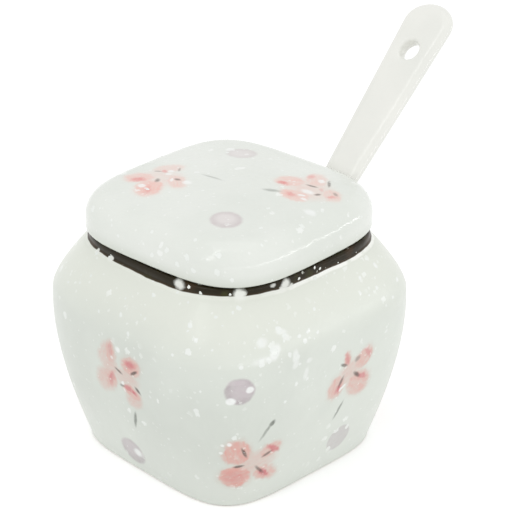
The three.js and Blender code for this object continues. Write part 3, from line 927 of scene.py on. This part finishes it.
CORNER = {
    "wash": [(3.1, 21.3, 4.5, 3.6, 98, 0.14, 0.94), (0.4, 20.4, 2.4, 1.5, 80, 0.30, 0.60),
             (2.5, 12.2, 4.2, 4.0, 10, 0.13, 1.00), (12.0, 19.6, 3.0, 2.3, 27, 0.28, 0.72),
             (10.5, 11.6, 3.5, 2.4, -52, 0.28, 0.76),
             (8.4, 16.6, 4.8, 3.6, 20, 0.6, 0.45)],
    "deep": [(12.9, 19.6, 2.2, 0.80, -55, 0.55, 0.92), (10.1, 11.5, 1.9, 1.0, -55, 0.5, 1.0),
             (2.4, 12.2, 3.0, 2.2, 0, 0.6, 0.28)],
    "stem": [(12.5, 29.3, 1.1, 0.60, 55, 0.5, 0.90), (11.0, 27.2, 2.9, 0.40, 57, 0.6, 0.62)],
    "touch": [(5.05, 21.2, 1.8, 0.45, -70, 0.5, 0.85), (3.55, 16.2, 1.35, 0.42, 5, 0.5, 0.85),
              (11.2, 18.5, 1.3, 0.42, 25, 0.6, 0.80), (9.1, 13.2, 1.9, 0.45, -60, 0.55, 0.80)],
    "dot": [(3.8, 42.3, 4.0, 4.0, 0, 0.12, 0.92)],
    "dot_middle": [(4.4, 42.4, 3.0, 2.6, 0, 0.50, 0.34), (3.4, 45.0, 2.6, 1.0, 0, 0.6, 0.40)],
    "snow": [(6.55, 42.5, 1.05, 0.95, 70, 0.3, 0.95), (1.45, 39.4, 1.35, 1.15, 10, 0.3, 1.00),
             (1.1, 24.7, 0.7, 0.65, 0, 0.4, 0.90), (-0.8, 24.4, 0.5, 0.45, 0, 0.4, 0.80),
             (-1.3, 21.6, 0.5, 0.50, 0, 0.4, 0.70), (9.6, 54.5, 1.4, 1.1, -20, 0.5, 0.60),
             (13.1, 51.4, 1.9, 1.2, 70, 0.45, 0.80), (9.5, 50.2, 2.2, 0.9, 5, 0.5, 0.42),
             (14.6, 55.8, 1.5, 0.6, -20, 0.5, 0.60), (16.0, 54.2, 1.3, 0.6, -40, 0.5, 0.60)],
}
PANEL_FLOWERS = {"jar_side_a": FACE_A, "jar_side_b": FACE_B, "jar_corner": CORNER}
print("Brush touches:", [sum(map(len, strokes.values())) for strokes in PANEL_FLOWERS.values()])

# %% [markdown]
# The pattern goes round the jar in eight panels: a side with its flower high and its dot low, then a
# corner the other way up. Each kind of panel has a glaze of its own. Turning a point back by its panel's
# angle gives its place on that panel, so one flower serves every panel of its kind. Opposite sides share
# a flower, and one corner has it mirrored, as a hand that works round a jar leaves it.

# %% Jar's pale glaze
JAR_ROUGHNESS = 0.3  # the jar's glaze is more satin than the lid's
JAR_TONES = (222, 227, 219), (214, 219, 211)
# the foot's tone is painted light, thrown up onto the lower wall by the white table
SHOULDER_TONE, FOOT_BOUNCE_TONE = (229, 232, 222), (233, 237, 230)
CREAMY_HEIGHTS, BOUNCE_HEIGHTS = (44, 60), (26, 4)  # where the tone turns to the shoulder's and the foot's
SNOW_TONE, CLAY_TONE = (244, 247, 243), (206, 196, 178)
CREAMY_SHARE, BOUNCE_SHARE = 0.8, 0.45  # how far it turns there
PATCH_SCALE, PATCH_NOISE, PATCH_STRENGTH = 0.06, (0.45, 0.65), 0.75  # of the patches of coarser drops
BARE_HEIGHT = 0.35  # the foot ring is wiped free of glaze up to here


def start_jar_glaze(material):
    """The jar's pale glaze, creamier on the shoulder, with painted light at the foot. Also gives x, y, z.
    """
    tree, where, base = start_glaze(material, *JAR_TONES)
    parts = put(tree, "ShaderNodeSeparateXYZ", {0: where}).outputs
    creamy = ramp(tree, parts["Z"], *CREAMY_HEIGHTS, (0.0, CREAMY_SHARE))
    base = blend(tree, creamy, base, screen(*SHOULDER_TONE))
    # painted light: the wall turns paler towards the foot, for the light that the white table throws up
    painted_bounce = ramp(tree, parts["Z"], *BOUNCE_HEIGHTS, (0.0, BOUNCE_SHARE))
    return tree, where, parts, blend(tree, painted_bounce, base, screen(*FOOT_BOUNCE_TONE))


def snow_over(tree, where, colour):
    """Fine white drops in the glaze, and coarser ones in patches."""
    thick = ramp(tree, noise(tree, where, PATCH_SCALE), *PATCH_NOISE)
    patches = calc(tree, "MULTIPLY", thick, PATCH_STRENGTH)
    fine = specks(tree, where, per_mm=0.75, share=0.26, size=0.36, strength=0.42)
    coarse = specks(tree, where, per_mm=0.36, share=0.32, size=0.44, strength=patches)
    return blend(tree, calc(tree, "MAXIMUM", fine, coarse), colour, screen(*SNOW_TONE))


tree, where, parts, base = start_jar_glaze(jar_glaze)
bare = calc(tree, "LESS_THAN", parts["Z"], BARE_HEIGHT)
bare_clay = blend(tree, bare, snow_over(tree, where, base), screen(*CLAY_TONE))
finish_glaze(tree, where, bare_clay, JAR_ROUGHNESS)
print("Pale glaze nodes:", len(tree.nodes))

# %% Panel glazes
PANELS = 8
PANEL_ANGLE = 2 * math.pi / PANELS
MIRRORED_PANEL, SAME_PANEL = -3, 0.1  # its number, and how close another number counts as the same


def panel_glaze(name, strokes):
    """The glaze of one kind of panel, with its flower and its dot."""
    material = bpy.data.materials.new(name)
    tree, where, parts, base = start_jar_glaze(material)
    angle = calc(tree, "ARCTAN2", parts["Y"], parts["X"])
    panel = calc(tree, "ROUND", calc(tree, "DIVIDE", angle, PANEL_ANGLE))
    unturn = calc(tree, "MULTIPLY", panel, -PANEL_ANGLE)
    folded = put(tree, "ShaderNodeVectorRotate", {"Vector": where, "Angle": unturn}, rotation_type="Z_AXIS")
    local = put(tree, "ShaderNodeSeparateXYZ", {0: folded.outputs[0]}).outputs
    mirrored = calc(tree, "COMPARE", panel, MIRRORED_PANEL, SAME_PANEL)
    flip = calc(tree, "SUBTRACT", 1, calc(tree, "MULTIPLY", mirrored, 2))
    across = calc(tree, "MULTIPLY", local["Y"], flip)
    spot = put(tree, "ShaderNodeCombineXYZ", {"X": across, "Y": local["Z"]}).outputs[0]
    colour = paint_flowers(tree, where, spot, base, with_bleed(strokes))
    finish_glaze(tree, where, snow_over(tree, where, colour), JAR_ROUGHNESS)
    return material


panel_glazes = [panel_glaze(name, strokes) for name, strokes in PANEL_FLOWERS.items()]
print("Nodes of the panels:", [len(material.node_tree.nodes) for material in panel_glazes])

# %% [markdown]
# The dark band is an iron glaze, brushed round the neck and over the rim. It is nearly black where it
# lies thick, breaks to brown and olive where it is thin, hangs lower on one side and is drawn up at a
# corner. White drops that fell on it are laid with the brush, as the flowers are. Below it a thin white
# line is painted, broken here and there, fainter up to the front corner and whitest from the middle of
# the side after it. The band has less gloss than the pale glaze, so it is a material of its own on the
# neck's faces, with a lower index of refraction.

# %% Edge of the band, and drops on it
COLLAR_EDGE, COLLAR_DIP, COLLAR_RISE = 64.65, 0.2, 0.5  # height of the band's edge, and how far it strays
EDGE_SOFT, EDGE_RAGGED, EDGE_THIN = 0.1, 0.6, 0.7  # the edge's blur, its wander and its thin brown rim
LIP_LOW, LIP_HIGH = 1.1, 0.5  # below the band's edge, where the lip starts and where it is full
DIPPED_SIDE, DIP_WIDTH = math.radians(-90), math.radians(45)
FRONT_CORNER, RISE_WIDTH = math.radians(-45), math.radians(28)
NECK_ARC = 0.68  # millimetres round the neck for a degree
SHAKE = 0.9  # how far the drops' edges wander, in mm
COLLAR_SNOW = [  # white drops: angle, then as for the flowers. The same ones lie half a turn on
    (-64.8, 66.6, 1.6, 1.2, -10, 0.45, 0.93), (-39.8, 66.1, 1.6, 1.5, 0, 0.4, 1.0),
    (-19.3, 65.9, 1.6, 1.2, 20, 0.45, 0.93), (-21.3, 65.0, 0.9, 0.7, 0, 0.4, 0.9),
    (-16.4, 65.0, 0.8, 0.6, 0, 0.4, 0.8), (-25.6, 66.7, 0.75, 0.5, 0, 0.5, 0.75),
    (-117.5, 65.0, 0.7, 0.6, 0, 0.4, 0.9), (-107.6, 65.3, 0.9, 0.6, 0, 0.35, 0.9),
]
print("Drops on the band:", 2 * len(COLLAR_SNOW))

# %% Iron glaze of the neck
IRON_ROUGHNESS, IRON_IOR = 0.3, 1.3
THIN_IRON, THICK_IRON = (60, 46, 24), (35, 28, 8)
IRON_BREAKS = [  # patches: scale and detail of their noise, where in it they start and are full, and tone
    (0.09, 2.0, 0.5, 0.66, (60, 43, 22)),
    (0.15, 3.0, 0.55, 0.7, (54, 53, 18)),
]
SPECK_TONE, DROP_TONE, LIP_TONE = (216, 218, 208), (238, 240, 234), (251, 252, 247)
RAGGED_SCALE, SHAKE_SCALE = 0.14, 0.9
BROKEN_SCALE, BROKEN_NOISE = 0.2, (0.25, 0.5)  # the lip is missing here and there
LIP_WHITENESS = 0.2, 1.0  # up to the front corner, and from the middle of the side after it


def near(tree, angle, middle, width, most):
    """Rises towards a direction, from nothing at so wide an angle beside it."""
    beside = calc(tree, "ABSOLUTE", calc(tree, "SUBTRACT", angle, middle))
    return ramp(tree, beside, width, 0.0, (0.0, most))


iron_glaze = bpy.data.materials.new("iron_glaze")
tree, where, parts, base = start_jar_glaze(iron_glaze)
angle = calc(tree, "ARCTAN2", parts["Y"], parts["X"])
dip = near(tree, angle, DIPPED_SIDE, DIP_WIDTH, COLLAR_DIP)
rise = near(tree, angle, FRONT_CORNER, RISE_WIDTH, COLLAR_RISE)
ragged = calc(tree, "SUBTRACT", noise(tree, where, RAGGED_SCALE), 0.5)
ragged = calc(tree, "MULTIPLY", ragged, EDGE_RAGGED)
level = calc(tree, "ADD", calc(tree, "SUBTRACT", calc(tree, "ADD", parts["Z"], dip), rise), ragged)
collar = ramp(tree, level, COLLAR_EDGE - EDGE_SOFT, COLLAR_EDGE + EDGE_SOFT)
deep = ramp(tree, level, COLLAR_EDGE, COLLAR_EDGE + EDGE_THIN)
iron = blend(tree, deep, screen(*THIN_IRON), screen(*THICK_IRON))
for scale, detail, start, full, tone in IRON_BREAKS:
    patch = ramp(tree, noise(tree, where, scale, detail), start, full)
    iron = blend(tree, patch, iron, screen(*tone))
drops = specks(tree, where, per_mm=0.6, share=0.12, size=0.36, strength=0.75)
iron = blend(tree, drops, iron, screen(*SPECK_TONE))
half_turn = calc(tree, "WRAP", calc(tree, "DEGREES", angle), 0.0, -180.0)
round_neck = calc(tree, "MULTIPLY", half_turn, NECK_ARC)
unrolled = put(tree, "ShaderNodeCombineXYZ", {"X": round_neck, "Y": parts["Z"]}).outputs[0]
shaken = noise(tree, where, SHAKE_SCALE, detail=3.0, output=COLOUR)
shaky = vector(tree, "MULTIPLY_ADD", shaken, (SHAKE, SHAKE, 0), unrolled)
drop_rows = [(NECK_ARC * turn + SHAKE / 2, *rest) for turn, *rest in COLLAR_SNOW]
flicked = touches(tree, shaky, drop_rows)
broken = ramp(tree, noise(tree, where, BROKEN_SCALE), *BROKEN_NOISE)
lip = calc(tree, "MULTIPLY", ramp(tree, level, COLLAR_EDGE - LIP_LOW, COLLAR_EDGE - LIP_HIGH), broken)
lip = calc(tree, "MULTIPLY", lip, ramp(tree, angle, FRONT_CORNER, 0.0, LIP_WHITENESS))
base = blend(tree, lip, base, screen(*LIP_TONE))
banded = blend(tree, collar, base, iron)
banded = blend(tree, flicked, banded, screen(*DROP_TONE))
finish_glaze(tree, where, banded, IRON_ROUGHNESS, IRON_IOR)
print("Iron glaze nodes:", len(tree.nodes))

# %% Give the jar's faces their glazes
PLAIN, SIDE_A, SIDE_B, CORNERS, NECK = range(5)  # the jar's materials, in the order of its slots
NECK_MARGIN = 1.0  # the neck's faces start this far below the band
for material in (*panel_glazes, iron_glaze):
    jar.data.materials.append(material)
centres = np.array([tuple(face.center) for face in jar.data.polygons]) / MM
facing = np.array([tuple(face.normal) for face in jar.data.polygons])
outside = (centres[:, :2] * facing[:, :2]).sum(axis=1) > 0
panel = np.round(np.arctan2(centres[:, 1], centres[:, 0]) / PANEL_ANGLE) % PANELS
kind = np.select([panel % 2 == 1, panel % 4 == 2], [CORNERS, SIDE_A], SIDE_B)
on_wall = outside & (centres[:, 2] > FOOT_EDGE)
on_neck = centres[:, 2] > COLLAR_EDGE - COLLAR_DIP - NECK_MARGIN
kind = np.select([on_neck, on_wall], [NECK, kind], PLAIN)
jar.data.polygons.foreach_set("material_index", kind.astype(np.int32))
print("Faces of each glaze:", np.bincount(kind).tolist())

# %% [markdown]
# The lid has two flowers and two dots. Its top is nearly level, so they are laid with the same brush as
# seen from above, along x and y. The lid is glazed more thickly than the jar: it is paler, glossier and
# wavier. Only its lower edge is darker, with painted shade where it meets the dark band.

# %% Lid flowers
LID_FLOWERS = {
    "wash": [(-19.5, -5.2, 4.2, 3.0, 55, 0.30, 0.36), (-20.8, -15.0, 4.4, 3.5, 20, 0.28, 0.58),
             (-13.4, -18.2, 5.0, 3.8, -50, 0.22, 0.69), (-10.4, -10.5, 4.6, 2.6, -30, 0.28, 0.48),
             (15.0, 19.4, 4.6, 2.9, 130, 0.30, 0.44), (24.4, 15.7, 3.3, 2.5, -45, 0.25, 0.44),
             (11.2, 12.7, 4.1, 3.3, 40, 0.25, 0.53), (18.2, 7.5, 4.3, 3.0, 15, 0.25, 0.56),
             (-15.6, -11.6, 5.8, 5.0, 0, 0.6, 0.26), (17.4, 13.4, 6.4, 5.4, 0, 0.6, 0.30)],
    "deep": [(-20.2, -16.2, 1.9, 1.2, 20, 0.6, 0.85), (-12.6, -19.4, 2.2, 1.0, -45, 0.6, 0.50),
             (-18.8, -7.4, 1.2, 0.7, -30, 0.6, 0.60), (12.4, 20.0, 1.8, 0.9, 120, 0.6, 0.55),
             (10.9, 10.3, 1.7, 0.9, 25, 0.6, 0.90), (17.3, 6.9, 1.5, 1.1, 0, 0.6, 0.65),
             (25.2, 15.0, 1.4, 0.8, 60, 0.6, 0.50), (20.6, 15.6, 1.0, 0.6, -40, 0.6, 0.40)],
    "stem": [(-5.3, -1.8, 3.0, 0.42, 8, 0.8, 0.42), (12.3, 4.4, 2.2, 0.7, 35, 0.7, 0.55)],
    "touch": [(-15.2, -13.4, 1.2, 0.62, -50, 0.6, 0.75), (-20.3, -8.5, 1.1, 0.42, 20, 0.6, 0.50),
              (-16.4, -4.0, 1.2, 0.36, -50, 0.6, 0.50), (-11.2, -9.4, 1.0, 0.60, 0, 0.6, 0.70),
              (19.0, 20.4, 2.0, 0.50, -50, 0.5, 0.65), (17.2, 15.3, 1.5, 0.45, 20, 0.6, 0.75),
              (21.8, 12.8, 0.9, 0.50, 60, 0.6, 0.70), (24.6, 17.1, 1.0, 0.55, -20, 0.6, 0.50)],
    "dot": [(16.7, -17.2, 4.5, 4.3, 0, 0.14, 0.62), (-13.0, 17.4, 4.4, 4.0, 60, 0.18, 0.48)],
    "dot_middle": [(16.3, -16.9, 3.0, 2.6, 0, 0.45, 0.75), (-13.2, 17.0, 3.2, 2.8, 60, 0.4, 0.60)],
    "snow": [(-17.3, -6.3, 1.0, 0.8, 0, 0.45, 0.85), (-16.2, -8.2, 0.9, 0.8, 0, 0.45, 0.80),
             (-15.9, -18.6, 1.2, 1.0, -20, 0.4, 0.95), (-13.6, -19.0, 0.7, 0.5, 0, 0.4, 0.70),
             (-7.6, -9.1, 1.3, 1.1, 0, 0.5, 0.90), (-12.2, -10.7, 1.2, 0.5, -50, 0.45, 0.90),
             (16.5, 19.9, 1.2, 0.9, -40, 0.45, 0.90), (19.0, 11.8, 1.8, 1.1, 15, 0.5, 0.85),
             (19.4, 8.9, 1.1, 0.5, 30, 0.4, 0.90), (21.4, 7.8, 1.0, 0.6, 10, 0.4, 0.80),
             (27.6, 3.8, 1.6, 1.3, 0, 0.5, 0.80)],
}
print("Brush touches on the lid:", sum(map(len, LID_FLOWERS.values())))

# %% Lid glaze
LID_TONES = (233, 236, 230), (226, 230, 223)
# the lid's edge tone is painted shade for its lower edge, just above the dark band
LID_SHADE_TONE, LID_SNOW_TONE = (212, 217, 207), (247, 249, 246)
LID_WAVE = 1.0 * MM
SHADE_FROM, SHADE_TO = 4.0, 0.5  # heights over the seat between which painted shade darkens the lower edge
SHADE_SHARE = 0.7  # how far it darkens
PAINTED_DEPTH, PAINTED_SLOPE = 6, 0.1  # depth below the top, and the normal's least z, of the painted faces


def finish_lid_glaze(tree, where, colour):
    """Painted shade on the lower edge, fine and coarse white drops over the lid's colour, then the surface.
    """
    height = put(tree, "ShaderNodeSeparateXYZ", {0: where}).outputs["Z"]
    # painted shade: the lid darkens towards its lower edge, above the dark band
    painted_shade = ramp(tree, height, seat + SHADE_FROM, seat + SHADE_TO, (0.0, SHADE_SHARE))
    colour = blend(tree, painted_shade, colour, screen(*LID_SHADE_TONE))
    fine = specks(tree, where, per_mm=0.8, share=0.26, size=0.34, strength=0.45)
    coarse = specks(tree, where, per_mm=0.3, share=0.18, size=0.44, strength=0.65)
    colour = blend(tree, calc(tree, "MAXIMUM", fine, coarse), colour, screen(*LID_SNOW_TONE))
    finish_glaze(tree, where, colour, wave=LID_WAVE)


finish_lid_glaze(*start_glaze(lid_glaze, *LID_TONES))
lid_flowers = bpy.data.materials.new("lid_flowers")
tree, where, base = start_glaze(lid_flowers, *LID_TONES)
flat = vector(tree, "MULTIPLY", where, (1, 1, 0))
painted = paint_flowers(tree, where, flat, base, with_bleed(LID_FLOWERS), LID_PAINT)
finish_lid_glaze(tree, where, painted)
lid.data.materials.append(lid_flowers)
painted_from = (lid_top - PAINTED_DEPTH) * MM
for face in lid.data.polygons:
    face.material_index = face.center.z > painted_from and face.normal.z > PAINTED_SLOPE
print("Lid glaze nodes:", len(tree.nodes))

# %% [markdown]
# ## Raised flecks
# A thick white glaze was spattered over the first coat. It doesn't flow out in the kiln, so each drop
# stays up as a flat bead. A bump in the material could hint at that, but real beads catch the light at
# their edges and are there in the mesh too. One recipe sets them in two ways. It scatters small ones over
# a body, more of them round the jar's shoulder, and it sets others at chosen places, where the brush was
# flicked closer.

# %% Kinds of bead
FLAKE_KINDS = 6
FLAKE_SUNK = 0.45  # share of its height that lies in the glaze, so that its edge runs out thin
LUMP_STEP, LUMP_SCALE = 7.0, 1.3  # each kind of bead is cut from another place in the same noise
LUMP_NOISE, LUMP_RADII = (0.3, 0.7), (0.6, 1.3)  # range of the noise, and of the radii that it gives


def fleck_kinds(tree):
    """A few lumpy beads, as instances to pick from."""
    kinds = put(tree, "GeometryNodeJoinGeometry")
    for number in range(FLAKE_KINDS):
        bead = put(tree, "GeometryNodeMeshIcoSphere", {"Radius": 1.0, "Subdivisions": 2})
        spot = put(tree, "GeometryNodeInputPosition").outputs[0]
        lumps = put(tree, "ShaderNodeTexNoise", {
            "Vector": spot, "W": LUMP_STEP * number, "Scale": LUMP_SCALE}, noise_dimensions="4D").outputs[0]
        spread = span(tree, lumps, *LUMP_NOISE, LUMP_RADII)
        wide = put(tree, "ShaderNodeVectorMath", {0: spot, "Scale": spread}, operation="SCALE").outputs[0]
        lower = vector(tree, "ADD", wide, (0, 0, -FLAKE_SUNK))
        flake = put(tree, "GeometryNodeSetPosition", {"Geometry": bead.outputs["Mesh"], "Position": lower})
        kept = put(tree, "GeometryNodeGeometryToInstance", {0: flake.outputs[0]})
        tree.links.new(kept.outputs[0], kinds.inputs[0])
    return kinds.outputs[0]


print("Kinds of bead:", FLAKE_KINDS)

# %% Fleck trees
FLAKE_FLATNESS = 0.08  # height over radius
SMALL_BIAS = 2.5  # over 1, so that most scattered beads are small
BEAD_LENGTHS = 0.75, 1.35  # over the bead's radius
FULL_TURN = 6.28
PER_SQUARE_CM = 1e4  # square centimetres in a square metre


def named(tree, name, kind):
    """A point attribute's value."""
    return put(tree, "GeometryNodeInputNamedAttribute", {"Name": name}, data_type=kind).outputs["Attribute"]


def chance(tree, low, high, seed, kind="FLOAT"):
    """A random value for each bead."""
    node = put(tree, "FunctionNodeRandomValue", {"Min": low, "Max": high, "Seed": seed}, data_type=kind)
    return next(socket for socket in node.outputs if socket.enabled)


def fleck_tree(name, scattered):
    """Beads scattered over a body by its spatter, or set on loose points by their facing and radius."""
    inputs = {"Body": "Geometry", "Per square cm": "Float", "Smallest": "Float", "Largest": "Float",
              "Seed": "Int", "Glaze": "Material"}
    tree = new_tree(name, inputs, "Flecks")
    given = put(tree, "NodeGroupInput").outputs
    if scattered:
        density = calc(tree, "MULTIPLY", given["Per square cm"], PER_SQUARE_CM)
        dense = calc(tree, "MULTIPLY", named(tree, "spatter", "FLOAT"), density)
        thrown = put(tree, "GeometryNodeDistributePointsOnFaces", {
            "Mesh": given["Body"], "Density": dense, "Seed": given["Seed"]})
        points, upright = thrown.outputs["Points"], thrown.outputs["Rotation"]
        share = calc(tree, "POWER", chance(tree, 0.0, 1.0, seed=3), SMALL_BIAS)
        radius = span(tree, share, 0.0, 1.0, (given["Smallest"], given["Largest"]))
    else:
        points = given["Body"]
        facing = named(tree, "facing", "FLOAT_VECTOR")
        upright = put(tree, "FunctionNodeAlignRotationToVector", {"Vector": facing}, axis="Z").outputs[0]
        radius = named(tree, "radius", "FLOAT")
    length = calc(tree, "MULTIPLY", radius, chance(tree, *BEAD_LENGTHS, seed=5))
    height = calc(tree, "MULTIPLY", radius, FLAKE_FLATNESS)
    size = put(tree, "ShaderNodeCombineXYZ", {"X": length, "Y": radius, "Z": height}).outputs[0]
    angle = chance(tree, 0.0, FULL_TURN, seed=8)
    spin = put(tree, "FunctionNodeAxisAngleToRotation", {"Axis": (0, 0, 1), "Angle": angle}).outputs[0]
    turned_bead = put(tree, "FunctionNodeRotateRotation", {
        "Rotation": upright, "Rotate By": spin}, rotation_space="LOCAL").outputs[0]
    kind = chance(tree, 0, FLAKE_KINDS - 1, seed=2, kind="INT")
    set_on = put(tree, "GeometryNodeInstanceOnPoints", {
        "Points": points, "Instance": fleck_kinds(tree), "Pick Instance": True,
        "Instance Index": kind, "Rotation": turned_bead, "Scale": size})
    real = put(tree, "GeometryNodeRealizeInstances", {0: set_on.outputs[0]})
    facets = put(tree, "GeometryNodeSetShadeSmooth", {0: real.outputs[0], "Shade Smooth": False})
    glazed = put(tree, "GeometryNodeSetMaterial", {
        "Geometry": facets.outputs[0], "Material": given["Glaze"]})
    put(tree, "NodeGroupOutput", {0: glazed.outputs[0]})
    return tree


scatter = fleck_tree("snow_scatter", True)
chosen = fleck_tree("snow_chosen", False)
print("Fleck nodes:", len(scatter.nodes), len(chosen.nodes))

# %% Scattered flecks
FLECK_TONES = (241, 244, 240), (235, 239, 234)
LOWEST_FLECK, RIM_MARGIN = 3, 0.6  # over the table, and below the jar's rim
SPATTER_HEIGHT, SPATTER_SPREAD, LEAST_SPATTER = 58, 9, 0.3  # thickest at this height, and thin far from it
SEAT_MARGIN, LEAST_RISE = 1.2, -0.1  # over the lid's seat, and the least z of a normal there


def flecks_on(body, name, spatter, **values):
    """Flecks scattered on a copy of a body, whose points carry the spatter's weight."""
    mesh = body.data.copy()
    weight = mesh.attributes.new("spatter", "FLOAT", "POINT")
    weight.data.foreach_set("value", spatter)
    return run_tree(add(name, mesh), scatter, glaze=fleck_glaze, **values)


def points_and_normals(body):
    """A body's points in millimetres and their normals."""
    return points_of(body), np.array([tuple(vertex.normal) for vertex in body.data.vertices])


fleck_glaze = bpy.data.materials.new("fleck_glaze")
tree, where, base = start_glaze(fleck_glaze, *FLECK_TONES)
finish_glaze(tree, where, base, roughness=0.2)
points, normals = points_and_normals(jar)
faces_out = (points[:, :2] * normals[:, :2]).sum(axis=1) > 0
in_reach = (points[:, 2] > LOWEST_FLECK) & (points[:, 2] < rim_height - RIM_MARGIN)
near_shoulder = np.exp(-(((points[:, 2] - SPATTER_HEIGHT) / SPATTER_SPREAD) ** 2))
spatter = faces_out * in_reach * (LEAST_SPATTER + near_shoulder)
jar_scatter = flecks_on(
    jar, "snow_scatter_jar", spatter, per_square_cm=1.2, smallest=0.25 * MM, largest=0.9 * MM, seed=11)
points, normals = points_and_normals(lid)
on_top = (points[:, 2] > seat + SEAT_MARGIN) & (normals[:, 2] > LEAST_RISE)
spatter = on_top.astype(float)
lid_scatter = flecks_on(
    lid, "snow_scatter_lid", spatter, per_square_cm=0.9, smallest=0.25 * MM, largest=0.8 * MM, seed=4)
print("Scattered faces:", len(jar_scatter.data.polygons), len(lid_scatter.data.polygons))

# %% [markdown]
# The chosen flecks lie along the dark band, in a loose cluster on the front shoulder and on the lid's
# edge. A few left of the front corner, high on the shoulder, sit where its soft highlight falls and
# partly stand for it, as painted highlight. A level line towards the axis finds the surface at each place.
# The far side has the same ones, turned half round.

# %% Chosen flecks
JAR_FLECKS = [  # angle round the axis in degrees, height and radius in mm
    (-60.1, 66.4, 0.5), (-55.0, 65.4, 0.5), (-65.0, 64.2, 0.6), (-43.5, 65.8, 0.4), (-11.5, 65.4, 0.5),
    (-1.4, 66.6, 0.4), (1.8, 65.6, 0.45), (-117.0, 64.0, 0.7), (-108.8, 64.6, 0.7), (-112.4, 64.2, 0.5),
    (-33.5, 54.5, 1.2), (-28.9, 51.8, 1.7), (-26.3, 56.3, 1.3), (-24.6, 54.8, 1.0), (-33.6, 49.8, 1.1),
    (-31.2, 50.0, 0.9), (-16.3, 51.4, 0.9), (-23.3, 49.5, 0.9), (-20.4, 48.0, 1.2), (-19.0, 45.6, 0.6),
    (-13.6, 53.6, 0.6), (-40.2, 49.5, 0.7), (-9.7, 52.2, 0.6), (-15.2, 39.6, 0.7), (-24.6, 35.0, 0.8),
    # the first three here sit in the shoulder's soft highlight, partly as painted highlight
    (-57.4, 58.3, 0.8), (-54.6, 55.4, 0.8), (-56.9, 52.3, 1.0), (-54.2, 35.2, 1.0), (-73.6, 33.4, 0.6),
    (-77.0, 55.7, 0.6), (-83.5, 50.3, 0.6), (-112.3, 58.9, 0.6), (-100.8, 52.2, 0.6), (25.1, 55.6, 0.7),
]
LID_FLECKS = [
    (-71.9, 74.6, 0.8), (-61.3, 74.6, 0.8), (-47.8, 76.6, 0.9), (-58.2, 71.4, 0.9), (-65.9, 71.9, 0.8),
    (-48.4, 72.4, 0.9), (-122.6, 75.8, 0.9), (-83.4, 77.1, 0.6), (-42.8, 70.4, 0.6), (-101.7, 73.0, 0.5),
    (-59.2, 78.4, 0.7), (-29.9, 77.9, 0.6), (-4.8, 78.4, 1.0), (14.1, 79.0, 0.8),
]


def flecks_at(body, name, rows):
    """Flecks at chosen places, and the same ones turned half round."""
    spots, normals, radii = [], [], []
    for turn, height, radius in rows + [(turn + 180, *rest) for turn, *rest in rows]:
        out = Vector((math.cos(math.radians(turn)), math.sin(math.radians(turn)), 0))
        hit, spot, normal, _ = body.ray_cast(Vector((0, 0, height * MM)) + out, -out)
        if hit:
            spots.append(tuple(spot))
            normals.extend(normal)
            radii.append(radius * MM)
    mesh = plain_mesh(name, spots)
    mesh.attributes.new("facing", "FLOAT_VECTOR", "POINT").data.foreach_set("vector", normals)
    mesh.attributes.new("radius", "FLOAT", "POINT").data.foreach_set("value", radii)
    return run_tree(add(name, mesh), chosen, glaze=fleck_glaze)


bpy.context.view_layer.update()
jar_chosen = flecks_at(jar, "snow_chosen_jar", JAR_FLECKS)
lid_chosen = flecks_at(lid, "snow_chosen_lid", LID_FLECKS)
for piece, body in ((jar_scatter, "jar"), (jar_chosen, "jar"), (lid_scatter, "lid"), (lid_chosen, "lid")):
    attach(piece, body)
print("Chosen flecks' faces:", len(jar_chosen.data.polygons), len(lid_chosen.data.polygons))
